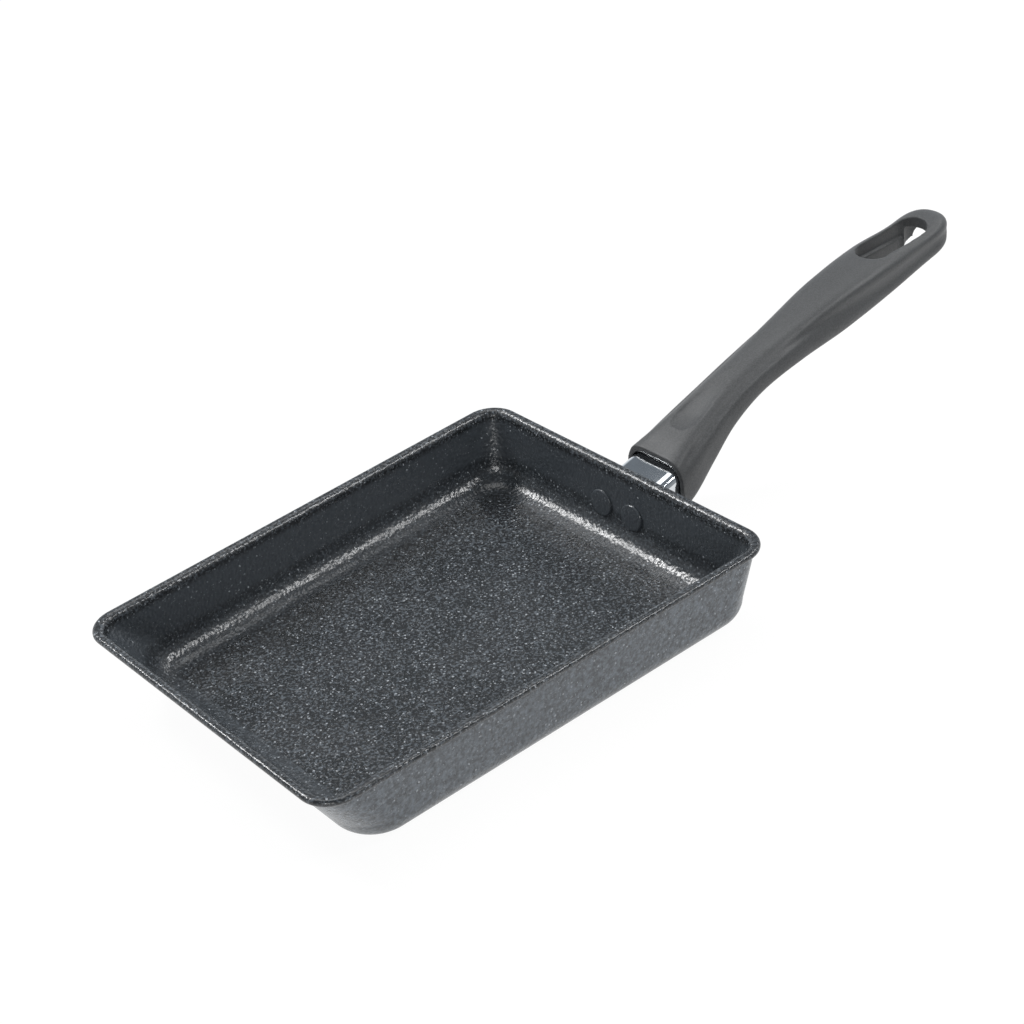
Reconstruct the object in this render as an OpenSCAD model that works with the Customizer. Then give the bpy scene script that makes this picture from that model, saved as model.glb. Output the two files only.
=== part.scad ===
// Small rectangular omelette pan with a riveted bracket and a moulded grip.
// The origin is the centre of the flat underside, +X points to the grip and +Z up.

/* [Pan] */
// Length of the rim
rim_length = 180; // [160:1:200]
// Width of the rim at the free end
rim_width_free = 130; // [115:1:145]
// Width of the rim at the grip end
rim_width_grip = 138; // [120:1:150]
// Height of the rim above the underside
pan_height = 29; // [27:0.5:33]
// Thickness of the walls
wall = 2.2; // [1.8:0.1:2.6]
// Thickness of the floor
floor_thickness = 2.6; // [2:0.1:3.2]
// Overhang of the lip past the top of the wall
lip_overhang = 1.8; // [1.8:0.1:2.6]
// Corner radius of the rim
rim_corner = 11; // [10:0.5:13]
// Corner radius of the walls where they begin to turn into the underside
tub_corner = 15.5; // [14:0.5:18]
// Radius between the walls and the underside
bottom_fillet = 8.5; // [7:0.5:9.5]
// Lean of the long walls, in millimetres outward for each millimetre up
long_lean = 0.05; // [0.03:0.01:0.12]
// Lean of the wall at the free end
free_lean = 0.56; // [0.4:0.02:0.7]
// Lean of the wall that carries the grip
grip_lean = 0.08; // [0.04:0.01:0.12]

/* [Bracket and sleeve] */
// Distance between the two rivets
rivet_spacing = 15; // [14:0.5:15]
// Diameter of the rivets' shanks
rivet_shank = 4.5; // [4:0.5:4.5]
// Diameter of the rivets' heads
rivet_head = 10; // [9:0.5:12]
// Height of the rivets above the underside
rivet_height = 13; // [12.5:0.5:14]
// Width of the chromed sleeve
sleeve_width = 23.4; // [23:0.1:23.6]
// Height of the chromed sleeve
sleeve_height = 11; // [10:0.5:11.5]
// Rise of the sleeve away from the pan, in degrees
sleeve_rise = 13; // [12:0.5:14]

/* [Grip] */
// Distance from the rim to the front of the grip
grip_gap = 14; // [13:0.5:15]
// Length of the grip
grip_length = 154; // [150:1:158]
// Width of the grip at its front
grip_front_width = 28; // [27.5:0.5:30]
// Width of the grip at its waist
grip_waist_width = 20; // [19:0.5:22]
// Width of the grip in the palm
grip_palm_width = 23.6; // [22.6:0.5:27.6]
// Length of the hang slot
slot_length = 34; // [30:1:36]
// Width of the hang slot
slot_width = 13; // [11:0.5:13]
// Nominal diameter of the grip's screw
screw_size = 5; // [4:0.5:5]

/* [Hidden] */
$fn = 48;

// Lip: a rolled edge, a tight root under it and a soft inner edge
lip_thickness = 2.4;
lip_edge = lip_thickness / 2;
lip_root_radius = lip_overhang - lip_edge - 0.1;
lip_inner_radius = 2.4;
wall_top = pan_height - lip_thickness;
lip_foot = 0.4;
corner_steps = 9;
fillet_steps = 6;

// Wall that carries the grip: its outer face leans by this angle
grip_end_angle = atan(grip_lean);
wall_face_x = rim_length / 2 - lip_overhang - (wall_top - rivet_height) * grip_lean;

// Bracket
plate_width = 32;
plate_height = 17;
plate_thickness = 1.8;
plate_corner = 4;
tongue_width = 13;
tongue_thickness = 2.4;
tongue_rise = 30;
neck_start_z = rivet_height + 0.9;
tongue_z = rivet_height + 4.4;
bend_x = rim_length / 2 + grip_gap + 4;
tongue_length = 25;
screw_along = 12.7;
screw_clear = 0.25;
rivet_head_height = 0.8;
rivet_head_slope = 0.8;
rivet_tail = rivet_shank + 1.4;
rivet_tail_slope = 1;
rivet_tail_height = 1.4;
rivet_seat = rivet_head + 0.4;
rivet_fit = 0.1;

// Sleeve
sleeve_sheet = 1;
sleeve_corner = 4;
sleeve_length = 25;

// Screw, washer and nut
nut_flats = 8;
nut_height = 3.4;
nut_room = 1.6;
nut_slot = 18;
head_diameter = 9;
head_slope = 2;
head_height = 2.4;
head_room = 1.4;
washer_diameter = 8.6;
washer_height = 1;
washer_slit = 0.8;
seat_depth = 2;
recess_width = 1.1;
recess_depth = 1.3;

// Grip
grip_x = rim_length / 2 + grip_gap;
socket_gap = 0.2;
section_steps = 56;
station_steps = 44;

// Profile of the grip as [share of its length, crown, underside, half width, height of
// the flute as a share of the section's half height]
grip_profile = [
    [0.00, 27.2, 6.2, grip_front_width / 2, 0.72],
    [0.05, 30.9, 9.3, grip_front_width / 2 - 0.6, 0.80],
    [0.12, 35.4, 17.0, grip_waist_width / 2 + 1.8, 0.86],
    [0.20, 40.2, 26.1, grip_waist_width / 2 + 0.4, 0.84],
    [0.30, 45.0, 33.1, grip_waist_width / 2, 0.82],
    [0.43, 50.5, 37.1, grip_waist_width / 2 + 0.8, 0.66],
    [0.59, 56.6, 39.5, grip_palm_width / 2, 0.30],
    [0.75, 60.6, 43.5, grip_palm_width / 2, -0.04],
    [0.88, 61.5, 47.8, grip_palm_width / 2 - 0.5, 0.05],
    [1.00, 64.8, 51.3, grip_palm_width / 2 - 0.6, 0.08]
];

// Sections are squarer at the front, by the power of their rounded outline
front_power = 4.6;
palm_power = 2.8;
palm_share = 0.625;

// The tip closes over this share of the length, down to a small flat end
tip_share = 0.085;
tip_power = 2.4;
tip_width_left = 0.06;
tip_height_left = 0.3;

// Side flutes
flute_depth = 1;
flute_width = 2.2;
flute_front = 0.5;
flute_share = 0.08;

// Hang slot: a pocket with a narrower slot through its level floor, a round hollow under
// the end of the slot and a scoop across the underside of the tip
slot_end_x = grip_x + grip_length - 10;
slot_floor = 54.8;
slot_ledge = 1.2;
hollow_x = slot_end_x + 1.8;
hollow_radius = 7;
hollow_top = 58.2;
scoop_x = grip_x + grip_length + 1.2;
scoop_z = 49.8;
scoop_radius = 7.4;

// Thumb dent: a long round-nosed tool sunk into the crown
dent_radius = 18;
dent_nose = 22;
dent_depth = 1.2;
dent_lift = 0.6;
dent_share = 0.125;
dent_fade_share = 0.34;
dent_sides = 72;
dent_steps = 4;

// Slope of column c of the profile at its row k
function profile_slope(k, c) =
    let(
        before = grip_profile[max(k - 1, 0)],
        after = grip_profile[min(k + 1, len(grip_profile) - 1)]
    )
    (after[c] - before[c]) / (after[0] - before[0]);

// Row of the profile that starts the span around a share t of the length
function span_of(t, k = 0) =
    k >= len(grip_profile) - 2 || t <= grip_profile[k + 1][0] ? k : span_of(t, k + 1);

// Column c of the profile at a share t of the length, on a smooth curve
function along_grip(t, c) =
    let(
        k = span_of(t),
        a = grip_profile[k],
        b = grip_profile[k + 1],
        h = b[0] - a[0],
        u = (t - a[0]) / h
    )
    (2 * u^3 - 3 * u^2 + 1) * a[c] + (u^3 - 2 * u^2 + u) * h * profile_slope(k, c)
    + (3 * u^2 - 2 * u^3) * b[c] + (u^3 - u^2) * h * profile_slope(k + 1, c);

// Inset of one wall at height z: straight, then round into the floor
function wall_inset(z, base, lean, floor_z) =
    let(
        tilt = atan(lean),
        up = z - floor_z
    )
    z >= wall_top ? base
    : up > bottom_fillet * (1 - sin(tilt)) ? base + (wall_top - z) * lean
    : base + (wall_top - floor_z - bottom_fillet) * lean + bottom_fillet / cos(tilt)
        - sqrt(bottom_fillet^2 - (bottom_fillet - up)^2);

// Rounded outline of the pan at height z, counter-clockwise seen from above
function pan_ring(z, base, corner, floor_z = 0) =
    let(
        free_x = wall_inset(z, base, free_lean, floor_z) - rim_length / 2,
        grip_end_x = rim_length / 2 - wall_inset(z, base, grip_lean, floor_z),
        side = wall_inset(z, base, long_lean, floor_z),
        widening = (rim_width_grip - rim_width_free) / 2 / rim_length,
        half_free = rim_width_free / 2 + (free_x + rim_length / 2) * widening - side,
        half_grip = rim_width_free / 2 + (grip_end_x + rim_length / 2) * widening - side,
        corners = [
            [grip_end_x - corner, half_grip - corner, 0],
            [free_x + corner, half_free - corner, 90],
            [free_x + corner, corner - half_free, 180],
            [grip_end_x - corner, corner - half_grip, 270]
        ]
    )
    [for (c = corners, k = [0 : corner_steps])
        let(a = c[2] + 90 * k / corner_steps)
        [c[0] + corner * cos(a), c[1] + corner * sin(a), z]];

// Corner radius of a wall: it grows downwards, then shrinks inside the round to the floor
function corner_at(z, inset, floor_z) =
    let(
        up = z - floor_z,
        rim_radius = rim_corner - inset,
        share = min(1, (wall_top - z) / (wall_top - floor_z - bottom_fillet)),
        straight = rim_radius + (tub_corner - rim_corner + lip_overhang) * max(0, share)
    )
    up > bottom_fillet ? straight
    : straight - bottom_fillet + sqrt(bottom_fillet^2 - (bottom_fillet - up)^2);

function outer_ring(z) = pan_ring(z, lip_overhang, corner_at(z, lip_overhang, 0));
function inner_ring(z) =
    let(inset = lip_overhang + wall)
    pan_ring(z, inset, corner_at(z, inset, floor_thickness), floor_thickness);
function lip_ring(z, inset) = pan_ring(z, inset, rim_corner - inset);

// Height above its floor of step k of a round
function round_up(k) = bottom_fillet * (1 - cos(90 * k / fillet_steps));

pan_rings = concat(
    [for (k = [0 : fillet_steps]) outer_ring(round_up(k))],
    [outer_ring((wall_top - lip_root_radius + bottom_fillet) / 2)],
    [outer_ring(wall_top - lip_root_radius)],
    [for (a = [30, 60, 90])
        lip_ring(wall_top + lip_root_radius * (sin(a) - 1), lip_overhang - lip_root_radius * (1 - cos(a)))],
    [for (a = [-90 : 30 : 90]) lip_ring(pan_height - lip_edge + lip_edge * sin(a), lip_edge * (1 - cos(a)))],
    [for (a = [0, 30, 60])
        lip_ring(pan_height - lip_inner_radius * (1 - cos(a)), lip_overhang + wall - lip_inner_radius * (1 - sin(a)))],
    [inner_ring(pan_height - lip_inner_radius - lip_foot)],
    [inner_ring((pan_height + floor_thickness + bottom_fillet) / 2)],
    [for (k = [fillet_steps : -1 : 0]) inner_ring(floor_thickness + round_up(k))]
);

// Skin stretched over a stack of rings that all have the same number of points
module loft(rings) {
    n = len(rings[0]);
    last = (len(rings) - 1) * n;
    polyhedron(
        points = [for (ring = rings, p = ring) p],
        faces = concat(
            [[for (i = [0 : n - 1]) i]],
            [for (r = [0 : len(rings) - 2], i = [0 : n - 1])
                let(
                    a = r * n,
                    j = (i + 1) % n
                )
                [a + i, a + n + i, a + n + j, a + j]],
            [[for (i = [n - 1 : -1 : 0]) last + i]]
        ),
        convexity = 6
    );
}

module rounded_rectangle(size, corner) {
    square([size[0] - 2 * corner, size[1]], center = true);
    square([size[0], size[1] - 2 * corner], center = true);
    for (x = [-1, 1], y = [-1, 1])
        translate([x * (size[0] / 2 - corner), y * (size[1] / 2 - corner)])
            circle(corner);
}

// Places its children on the outer face of the grip-end wall, +Z away from the pan
module on_wall(out = 0) {
    translate([wall_face_x, 0, rivet_height])
        rotate([0, 90 + grip_end_angle, 0])
            translate([0, 0, out])
                children();
}

// Places its children at both rivets, +Z away from the pan
module at_rivets(out = 0) {
    for (side = [-1, 1])
        on_wall(out)
            translate([0, side * rivet_spacing / 2, 0])
                children();
}

// Places its children on the tongue at the grip's screw, +Z square to the tongue
module at_screw() {
    translate([bend_x, 0, tongue_z])
        rotate([0, -tongue_rise, 0])
            translate([screw_along, 0, 0])
                children();
}

// Places its children along the neck, +Z away from the pan
module along_neck() {
    translate([wall_face_x, 0, neck_start_z])
        rotate([0, 90 - sleeve_rise, 0])
            children();
}

// The seats keep the rivets' heads clear of the round into the floor
module pan_body() {
    color("dimgray")
        difference() {
            loft(pan_rings);
            at_rivets(-2 * wall)
                cylinder(d = rivet_shank, h = 3 * wall);
            at_rivets(-2 * wall)
                cylinder(d = rivet_seat, h = wall);
        }
}

// Each rivet: shank, flat inner head and the closed head outside the plate
module rivets() {
    color("silver")
        at_rivets() {
            translate([0, 0, -wall - rivet_fit])
                cylinder(d = rivet_shank, h = wall + plate_thickness + 2 * rivet_fit);
            translate([0, 0, -wall - rivet_head_height])
                cylinder(d1 = rivet_head - rivet_head_slope, d2 = rivet_head, h = rivet_head_height);
            translate([0, 0, plate_thickness])
                cylinder(d1 = rivet_tail, d2 = rivet_tail - rivet_tail_slope, h = rivet_tail_height);
        }
}

// Side view of the bent tongue, drawn in the plane of its bend
module tongue_outline() {
    foot_x = wall_face_x + plate_thickness / 2;
    translate([foot_x, tongue_z - tongue_thickness / 2])
        square([bend_x - foot_x, tongue_thickness]);
    translate([bend_x, tongue_z]) {
        circle(d = tongue_thickness);
        rotate(tongue_rise)
            translate([0, -tongue_thickness / 2])
                square([tongue_length, tongue_thickness]);
    }
}

module handle_bracket() {
    color("lightgray")
        difference() {
            union() {
                on_wall()
                    linear_extrude(plate_thickness)
                        rounded_rectangle([plate_height, plate_width], plate_corner);
                rotate([90, 0, 0])
                    linear_extrude(tongue_width, center = true)
                        tongue_outline();
            }
            at_rivets(-plate_thickness)
                cylinder(d = rivet_shank, h = 3 * plate_thickness);
            at_screw()
                cylinder(d = screw_size + 2 * screw_clear, h = 3 * tongue_thickness, center = true);
        }
}

module sleeve_section() {
    difference() {
        rounded_rectangle([sleeve_height, sleeve_width], sleeve_corner);
        rounded_rectangle([sleeve_height - 2 * sleeve_sheet, sleeve_width - 2 * sleeve_sheet],
            sleeve_corner - sleeve_sheet);
    }
}

// The sleeve's near end is cut flush with the bracket's plate
module neck_sleeve() {
    cut = 3 * sleeve_width;
    color("gainsboro")
        difference() {
            along_neck()
                linear_extrude(sleeve_length)
                    sleeve_section();
            on_wall(plate_thickness - cut / 2)
                cube(cut, center = true);
        }
}

// Section of the grip at a share t of its length: a crowned top over fluted sides
function grip_section(t) =
    let(
        to_end = min(1, (1 - t) / tip_share),
        close = (1 - (1 - to_end)^tip_power)^(1 / tip_power),
        top = along_grip(t, 1),
        low = along_grip(t, 2),
        half = along_grip(t, 3) * (tip_width_left + (1 - tip_width_left) * close),
        half_height = (top - low) / 2 * (tip_height_left + (1 - tip_height_left) * close),
        power = front_power - (front_power - palm_power) * min(1, t / palm_share),
        flute_z = along_grip(t, 4),
        flute_y = (1 - abs(flute_z)^power)^(1 / power),
        depth = flute_depth * close * min(1, flute_front + t / flute_share)
    )
    [for (k = [0 : section_steps - 1])
        let(
            a = 360 * (k + 0.5) / section_steps,
            side = sign(cos(a)),
            y = side * abs(cos(a))^(2 / power),
            z = sign(sin(a)) * abs(sin(a))^(2 / power),
            outward = [side * abs(y)^(power - 1) / half, sign(z) * abs(z)^(power - 1) / half_height],
            away = norm([half * (y - side * flute_y), half_height * (z - flute_z)]) / flute_width,
            pull = depth * exp(-away^2) / norm(outward)
        )
        [
            grip_x + grip_length * t,
            half * y - pull * outward[0],
            (top + low) / 2 + half_height * z - pull * outward[1]
        ]];

// Shares of the length at which sections are taken, closer together at the tip
function station(k) =
    let(
        s = k / station_steps,
        dense = 0.6,
        rest = tip_share * 1.6
    )
    s < dense ? s / dense * (1 - rest)
    : 1 - rest * (1 - sin(90 * (s - dense) / (1 - dense)));

module grip_blank() {
    loft([for (k = [0 : station_steps]) grip_section(station(k))]);
}

// Room in the grip for the sleeve, the tongue and the nut
module socket() {
    tongue_room = tongue_length + 2 * socket_gap;
    along_neck()
        linear_extrude(sleeve_length + socket_gap)
            rounded_rectangle([sleeve_height + 2 * socket_gap, sleeve_width + 2 * socket_gap], sleeve_corner);
    at_screw() {
        translate([tongue_room / 2 - screw_along, 0, 0])
            cube([tongue_room, tongue_width + 2 * socket_gap, tongue_thickness + 2 * socket_gap],
                center = true);
        translate([(nut_flats + nut_room - nut_slot) / 2, 0, (tongue_thickness + nut_height) / 2 + socket_gap])
            cube([nut_slot, nut_flats + nut_room, nut_height + 2 * socket_gap], center = true);
    }
}

// Straight slot with round ends that stops at x = 0
module stadium(length, width) {
    for (x = [-width / 2, width / 2 - length])
        translate([x, 0])
            circle(d = width);
    translate([width / 2 - length, -width / 2])
        square([length - width, width]);
}

module hang_slot() {
    translate([slot_end_x, 0, slot_floor])
        linear_extrude(grip_length)
            stadium(slot_length, slot_width);
    translate([slot_end_x - slot_ledge, 0, 0])
        linear_extrude(grip_length)
            stadium(slot_length - 2 * slot_ledge, slot_width - 2 * slot_ledge);
    translate([hollow_x, 0, 0])
        cylinder(r = hollow_radius, h = hollow_top);
    translate([scoop_x, 0, scoop_z])
        rotate([90, 0, 0])
            cylinder(r = scoop_radius, h = 2 * grip_palm_width, center = true);
}

// One ring of the dent's tool at x: its lowest point is sunk under the crown
function dent_ring(x, sunk, radius) =
    let(
        share = max(0, (x - grip_x) / grip_length),
        z = along_grip(share, 1) + dent_radius - sunk
    )
    [for (k = [0 : dent_sides - 1])
        let(a = 360 * k / dent_sides)
        [x, radius * cos(a), z + radius * sin(a)]];

module thumb_dent() {
    start_x = grip_x + dent_share * grip_length;
    reach = (dent_fade_share - dent_share) * grip_length;
    loft(concat(
        [for (a = [-80 : 10 : 0])
            dent_ring(start_x + dent_nose * sin(a), dent_depth, dent_radius * cos(a))],
        [for (k = [1 : dent_steps])
            let(u = k / dent_steps)
            dent_ring(start_x + reach * u, dent_depth - (dent_depth + dent_lift) * u, dent_radius)]
    ));
}

module handle() {
    color("darkslategray")
        difference() {
            grip_blank();
            socket();
            hang_slot();
            thumb_dent();
            at_screw() {
                mirror([0, 0, 1])
                    cylinder(d = screw_size + 2 * screw_clear, h = 2 * screw_size);
                translate([0, 0, -tongue_thickness / 2 - seat_depth])
                    mirror([0, 0, 1])
                        cylinder(d = head_diameter + head_room, h = 2 * head_diameter);
            }
        }
}

// Places its children on the face of the screw's head, +Z towards the nut
module at_head() {
    at_screw()
        translate([0, 0, -tongue_thickness / 2 - seat_depth - washer_height - head_height])
            children();
}

module handle_screw() {
    shank = nut_height + tongue_thickness + seat_depth + washer_height;
    color("silver")
        at_head()
            difference() {
                union() {
                    cylinder(d1 = head_diameter - head_slope, d2 = head_diameter, h = head_height);
                    cylinder(d = screw_size, h = head_height + shank);
                }
                for (turn = [0, 90])
                    rotate(turn)
                        cube([screw_size, recess_width, 2 * recess_depth], center = true);
            }
}

module spring_washer() {
    color("gray")
        at_head()
            translate([0, 0, head_height])
                difference() {
                    cylinder(d = washer_diameter, h = washer_height);
                    cylinder(d = screw_size + screw_clear, h = 3 * washer_height, center = true);
                    translate([washer_diameter / 2, 0, 0])
                        cube([washer_diameter - screw_size, washer_slit, 3 * washer_height], center = true);
                }
}

module bracket_nut() {
    color("silver")
        at_screw()
            translate([0, 0, tongue_thickness / 2])
                difference() {
                    cylinder(d = nut_flats / cos(30), h = nut_height, $fn = 6);
                    cylinder(d = screw_size, h = 3 * nut_height, center = true);
                }
}

pan_body();
rivets();
handle_bracket();
neck_sleeve();
handle();
handle_screw();
spring_washer();
bracket_nut();
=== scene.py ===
"""Studio scene of a small rectangular omelette pan.

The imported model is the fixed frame. Each sub-assembly is one class: its fields are real sizes in
millimetres, build() makes its mesh where the frame has it, and dress() gives it a finish.
"""
import logging
import math
from dataclasses import dataclass
from enum import Enum
from typing import Iterable, Sequence

import bmesh
import bpy
from mathutils import Euler, Matrix, Vector


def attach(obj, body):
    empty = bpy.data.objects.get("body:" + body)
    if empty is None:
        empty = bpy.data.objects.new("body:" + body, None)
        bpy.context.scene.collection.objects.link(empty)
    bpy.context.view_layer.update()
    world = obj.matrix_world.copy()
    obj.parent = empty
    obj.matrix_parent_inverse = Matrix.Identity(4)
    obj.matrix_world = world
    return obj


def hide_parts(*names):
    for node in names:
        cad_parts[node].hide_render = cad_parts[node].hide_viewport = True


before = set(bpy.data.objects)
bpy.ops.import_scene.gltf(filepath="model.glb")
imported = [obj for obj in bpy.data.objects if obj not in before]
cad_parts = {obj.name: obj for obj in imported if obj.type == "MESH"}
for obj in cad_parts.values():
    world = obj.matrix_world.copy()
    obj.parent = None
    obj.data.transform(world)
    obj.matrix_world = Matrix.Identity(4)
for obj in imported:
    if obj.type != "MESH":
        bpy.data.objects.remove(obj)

LOG = logging.getLogger("omelette_pan")
MM = 0.001
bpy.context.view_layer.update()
WHITE = (1.0, 1.0, 1.0, 1.0)

Socket = bpy.types.NodeSocket
Feed = Socket | float | bool | str | tuple[float, ...] | Vector
Outputs = bpy.types.bpy_prop_collection
Point = tuple[float, float]


class Slot(Enum):
    """Material slots of the record."""

    COAT = "speckled_coat"
    RIVET = "coated_rivet"
    BRACKET = "bracket_steel"
    CHROME = "chrome"
    GRIP = "phenolic"
    SCREW = "zinc_screw"


class Zone(Enum):
    """Parts of the pan's skin: share of flecks, paleness of the ground and strength of its blotches. The
    extra flecks on the lip and inner fillets are partly painted highlight, and the inner walls' palest
    ground is painted light that lifts their shade.
    """

    UNDERSIDE = (0.30, 0.50, 0.50)
    OUTER_WALL = (0.80, 0.78, 0.95)
    # Lip: extra flecks partly paint the speckled highlight along the rim.
    LIP = (0.95, 0.08, 0.00)
    # Inner walls: the palest ground is painted light that lifts their shade.
    INNER_WALL = (0.28, 1.00, 0.12)
    # Inner fillets: extra flecks partly paint their speckled highlight.
    INNER_FILLET = (0.70, 0.30, 0.10)
    FLOOR = (1.00, 0.00, 0.00)


ZONE_LAYERS = ("fleck_and_glint_share", "paleness_and_painted_fill", "blotch_share")


def tone(level: float, cool: float = 0.0) -> tuple[float, float, float, float]:
    """Turn a grey as the screen shows it into a linear colour.

    Args:
        level: the grey, from 0 to 255.
        cool: how much bluer than grey it is, as a share of the level.

    Returns:
        The linear colour with full alpha.
    """
    def linear(value: float) -> float:
        """Undo the screen's curve for one channel."""
        share = min(max(value / 255.0, 0.0), 1.0)
        return share / 12.92 if share <= 0.04045 else ((share + 0.055) / 1.055) ** 2.4

    return linear(level * (1 - cool)), linear(level), linear(level * (1 + cool)), 1.0


def cleared(owner: bpy.types.Material | bpy.types.World) -> bpy.types.NodeTree:
    """Give the emptied node tree of a material or world.

    Args:
        owner: the material or world.

    Returns:
        Its node tree, without nodes.
    """
    owner.use_nodes = True
    owner.node_tree.nodes.clear()
    return owner.node_tree


class NodeSheet:
    """Lays nodes into one tree and joins them."""

    def __init__(self, tree: bpy.types.NodeTree) -> None:
        """Keep the tree that the nodes go into."""
        self.tree = tree

    def feed(self, target: Socket, value: Feed) -> None:
        """Link a socket to the target, or write a plain value there.

        Args:
            target: the input that is fed.
            value: another node's output, or a number, vector, colour or name.
        """
        if isinstance(value, Socket):
            self.tree.links.new(value, target)
        else:
            target.default_value = value

    def node(self, kind: str, *values: Feed | None, **settings: object) -> bpy.types.Node:
        """Add one node and feed its first inputs.

        Args:
            kind: Blender's own name for the type of node.
            *values: what goes into its inputs, in their order; None leaves one as it is.
            **settings: properties of the node by name.

        Returns:
            The new node.
        """
        made = self.tree.nodes.new(kind)
        for name, value in settings.items():
            setattr(made, name, value)
        for socket, value in zip(made.inputs, values):
            if value is not None:
                self.feed(socket, value)
        return made

    def fill(self, made: bpy.types.Node, **values: Feed) -> bpy.types.Node:
        """Feed several inputs of a node by name, with underscores for spaces.

        Args:
            made: the node.
            **values: what goes into each input.

        Returns:
            The same node.
        """
        for name, value in values.items():
            self.feed(made.inputs[name.replace("_", " ")], value)
        return made

    def calc(self, operation: str, *values: Feed) -> Socket:
        """Work out one number with a Math node."""
        return self.node("ShaderNodeMath", *values, operation=operation).outputs[0]

    def times(self, first: Feed, second: Feed) -> Socket:
        """Multiply two numbers."""
        return self.calc("MULTIPLY", first, second)

    def line(self, value: Feed, slope: float, start: Feed) -> Socket:
        """Multiply a number by the slope and add the start."""
        return self.calc("MULTIPLY_ADD", value, slope, start)

    def scaled(self, vector: Feed, factor: Feed) -> Socket:
        """Multiply a vector by one number."""
        made = self.node("ShaderNodeVectorMath", vector, operation="SCALE")
        return self.fill(made, Scale=factor).outputs[0]

    def step(self, value: Feed, low: Feed, high: Feed) -> Socket:
        """Rise smoothly from 0 to 1 as a value goes from low to high."""
        return self.node("ShaderNodeMapRange", value, low, high, interpolation_type="SMOOTHSTEP").outputs[0]

    def mix(self, share: Feed, first: Feed, second: Feed) -> Socket:
        """Mix two colours; the share is how much of the second shows."""
        between = [None] * 5
        return self.node("ShaderNodeMix", share, *between, first, second, data_type="RGBA").outputs[2]

    def blend(self, share: Feed, first: bpy.types.Node, second: bpy.types.Node) -> Socket:
        """Mix two shaders; the share is how much of the second shows."""
        return self.node("ShaderNodeMixShader", share, first.outputs[0], second.outputs[0]).outputs[0]

    def cloud(self, place: Feed, detail: float, roughness: float = 0.5) -> Outputs:
        """Lay a noise whose features are about one unit of place across: its value, then its colour."""
        made = self.node("ShaderNodeTexNoise")
        return self.fill(made, Vector=place, Scale=1.0, Detail=detail, Roughness=roughness).outputs


class GroupSheet(NodeSheet):
    """The sheet of a shader group, with its inputs and coordinates in units of its Size."""

    def __init__(self, tree: bpy.types.NodeTree) -> None:
        """Lay the input node and divide its Place by its Size.

        Args:
            tree: the group's node tree.
        """
        super().__init__(tree)
        self.given = self.node("NodeGroupInput").outputs
        self.place = self.scaled(self.given["Place"], self.calc("DIVIDE", 1.0, self.given["Size"]))


class SurfaceSheet(NodeSheet):
    """The sheet of a material, with its Principled BSDF and Object coordinates in millimetres."""

    def __init__(self, tree: bpy.types.NodeTree) -> None:
        """Lay the shader, the output and the coordinates.

        Args:
            tree: the material's node tree.
        """
        super().__init__(tree)
        self.shader = self.node("ShaderNodeBsdfPrincipled")
        self.node("ShaderNodeOutputMaterial", self.shader.outputs[0])
        self.place = self.scaled(self.node("ShaderNodeTexCoord").outputs["Object"], 1 / MM)

    def shade(self, height: Feed, relief: float, **values: Feed) -> None:
        """Feed the shader, and raise the surface along a height map whose 1 stands for the relief in mm."""
        bump = self.fill(self.node("ShaderNodeBump"), Strength=1.0, Distance=relief * MM, Height=height)
        self.fill(self.shader, Normal=bump.outputs[0], **values)


@dataclass(frozen=True)
class Effect:
    """A shader node group that a finish uses with values of its own."""

    title: str
    inputs: tuple[tuple[str, float], ...]
    outputs: tuple[str, ...]

    def lay(self, sheet: GroupSheet) -> Sequence[Socket]:
        """Lay the effect's nodes on the group's sheet and give one socket for each output."""
        raise NotImplementedError

    def tree(self) -> bpy.types.NodeTree:
        """Give the group, which is laid out the first time that it is asked for.

        Returns:
            The group's node tree.
        """
        known = bpy.data.node_groups.get(self.title)
        if known is not None:
            return known
        tree = bpy.data.node_groups.new(self.title, "ShaderNodeTree")
        tree.interface.new_socket("Place", in_out="INPUT", socket_type="NodeSocketVector")
        for name, value in self.inputs:
            made = tree.interface.new_socket(name, in_out="INPUT", socket_type="NodeSocketFloat")
            made.default_value = value
        for name in self.outputs:
            tree.interface.new_socket(name, in_out="OUTPUT", socket_type="NodeSocketFloat")
        sheet = GroupSheet(tree)
        sheet.node("NodeGroupOutput", *self.lay(sheet))
        return tree

    def placed(self, sheet: SurfaceSheet, **values: Feed) -> Outputs:
        """Put the effect into a material with values for its inputs, and give its outputs."""
        made = sheet.node("ShaderNodeGroup", node_tree=self.tree())
        return sheet.fill(made, Place=sheet.place, **values).outputs


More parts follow.
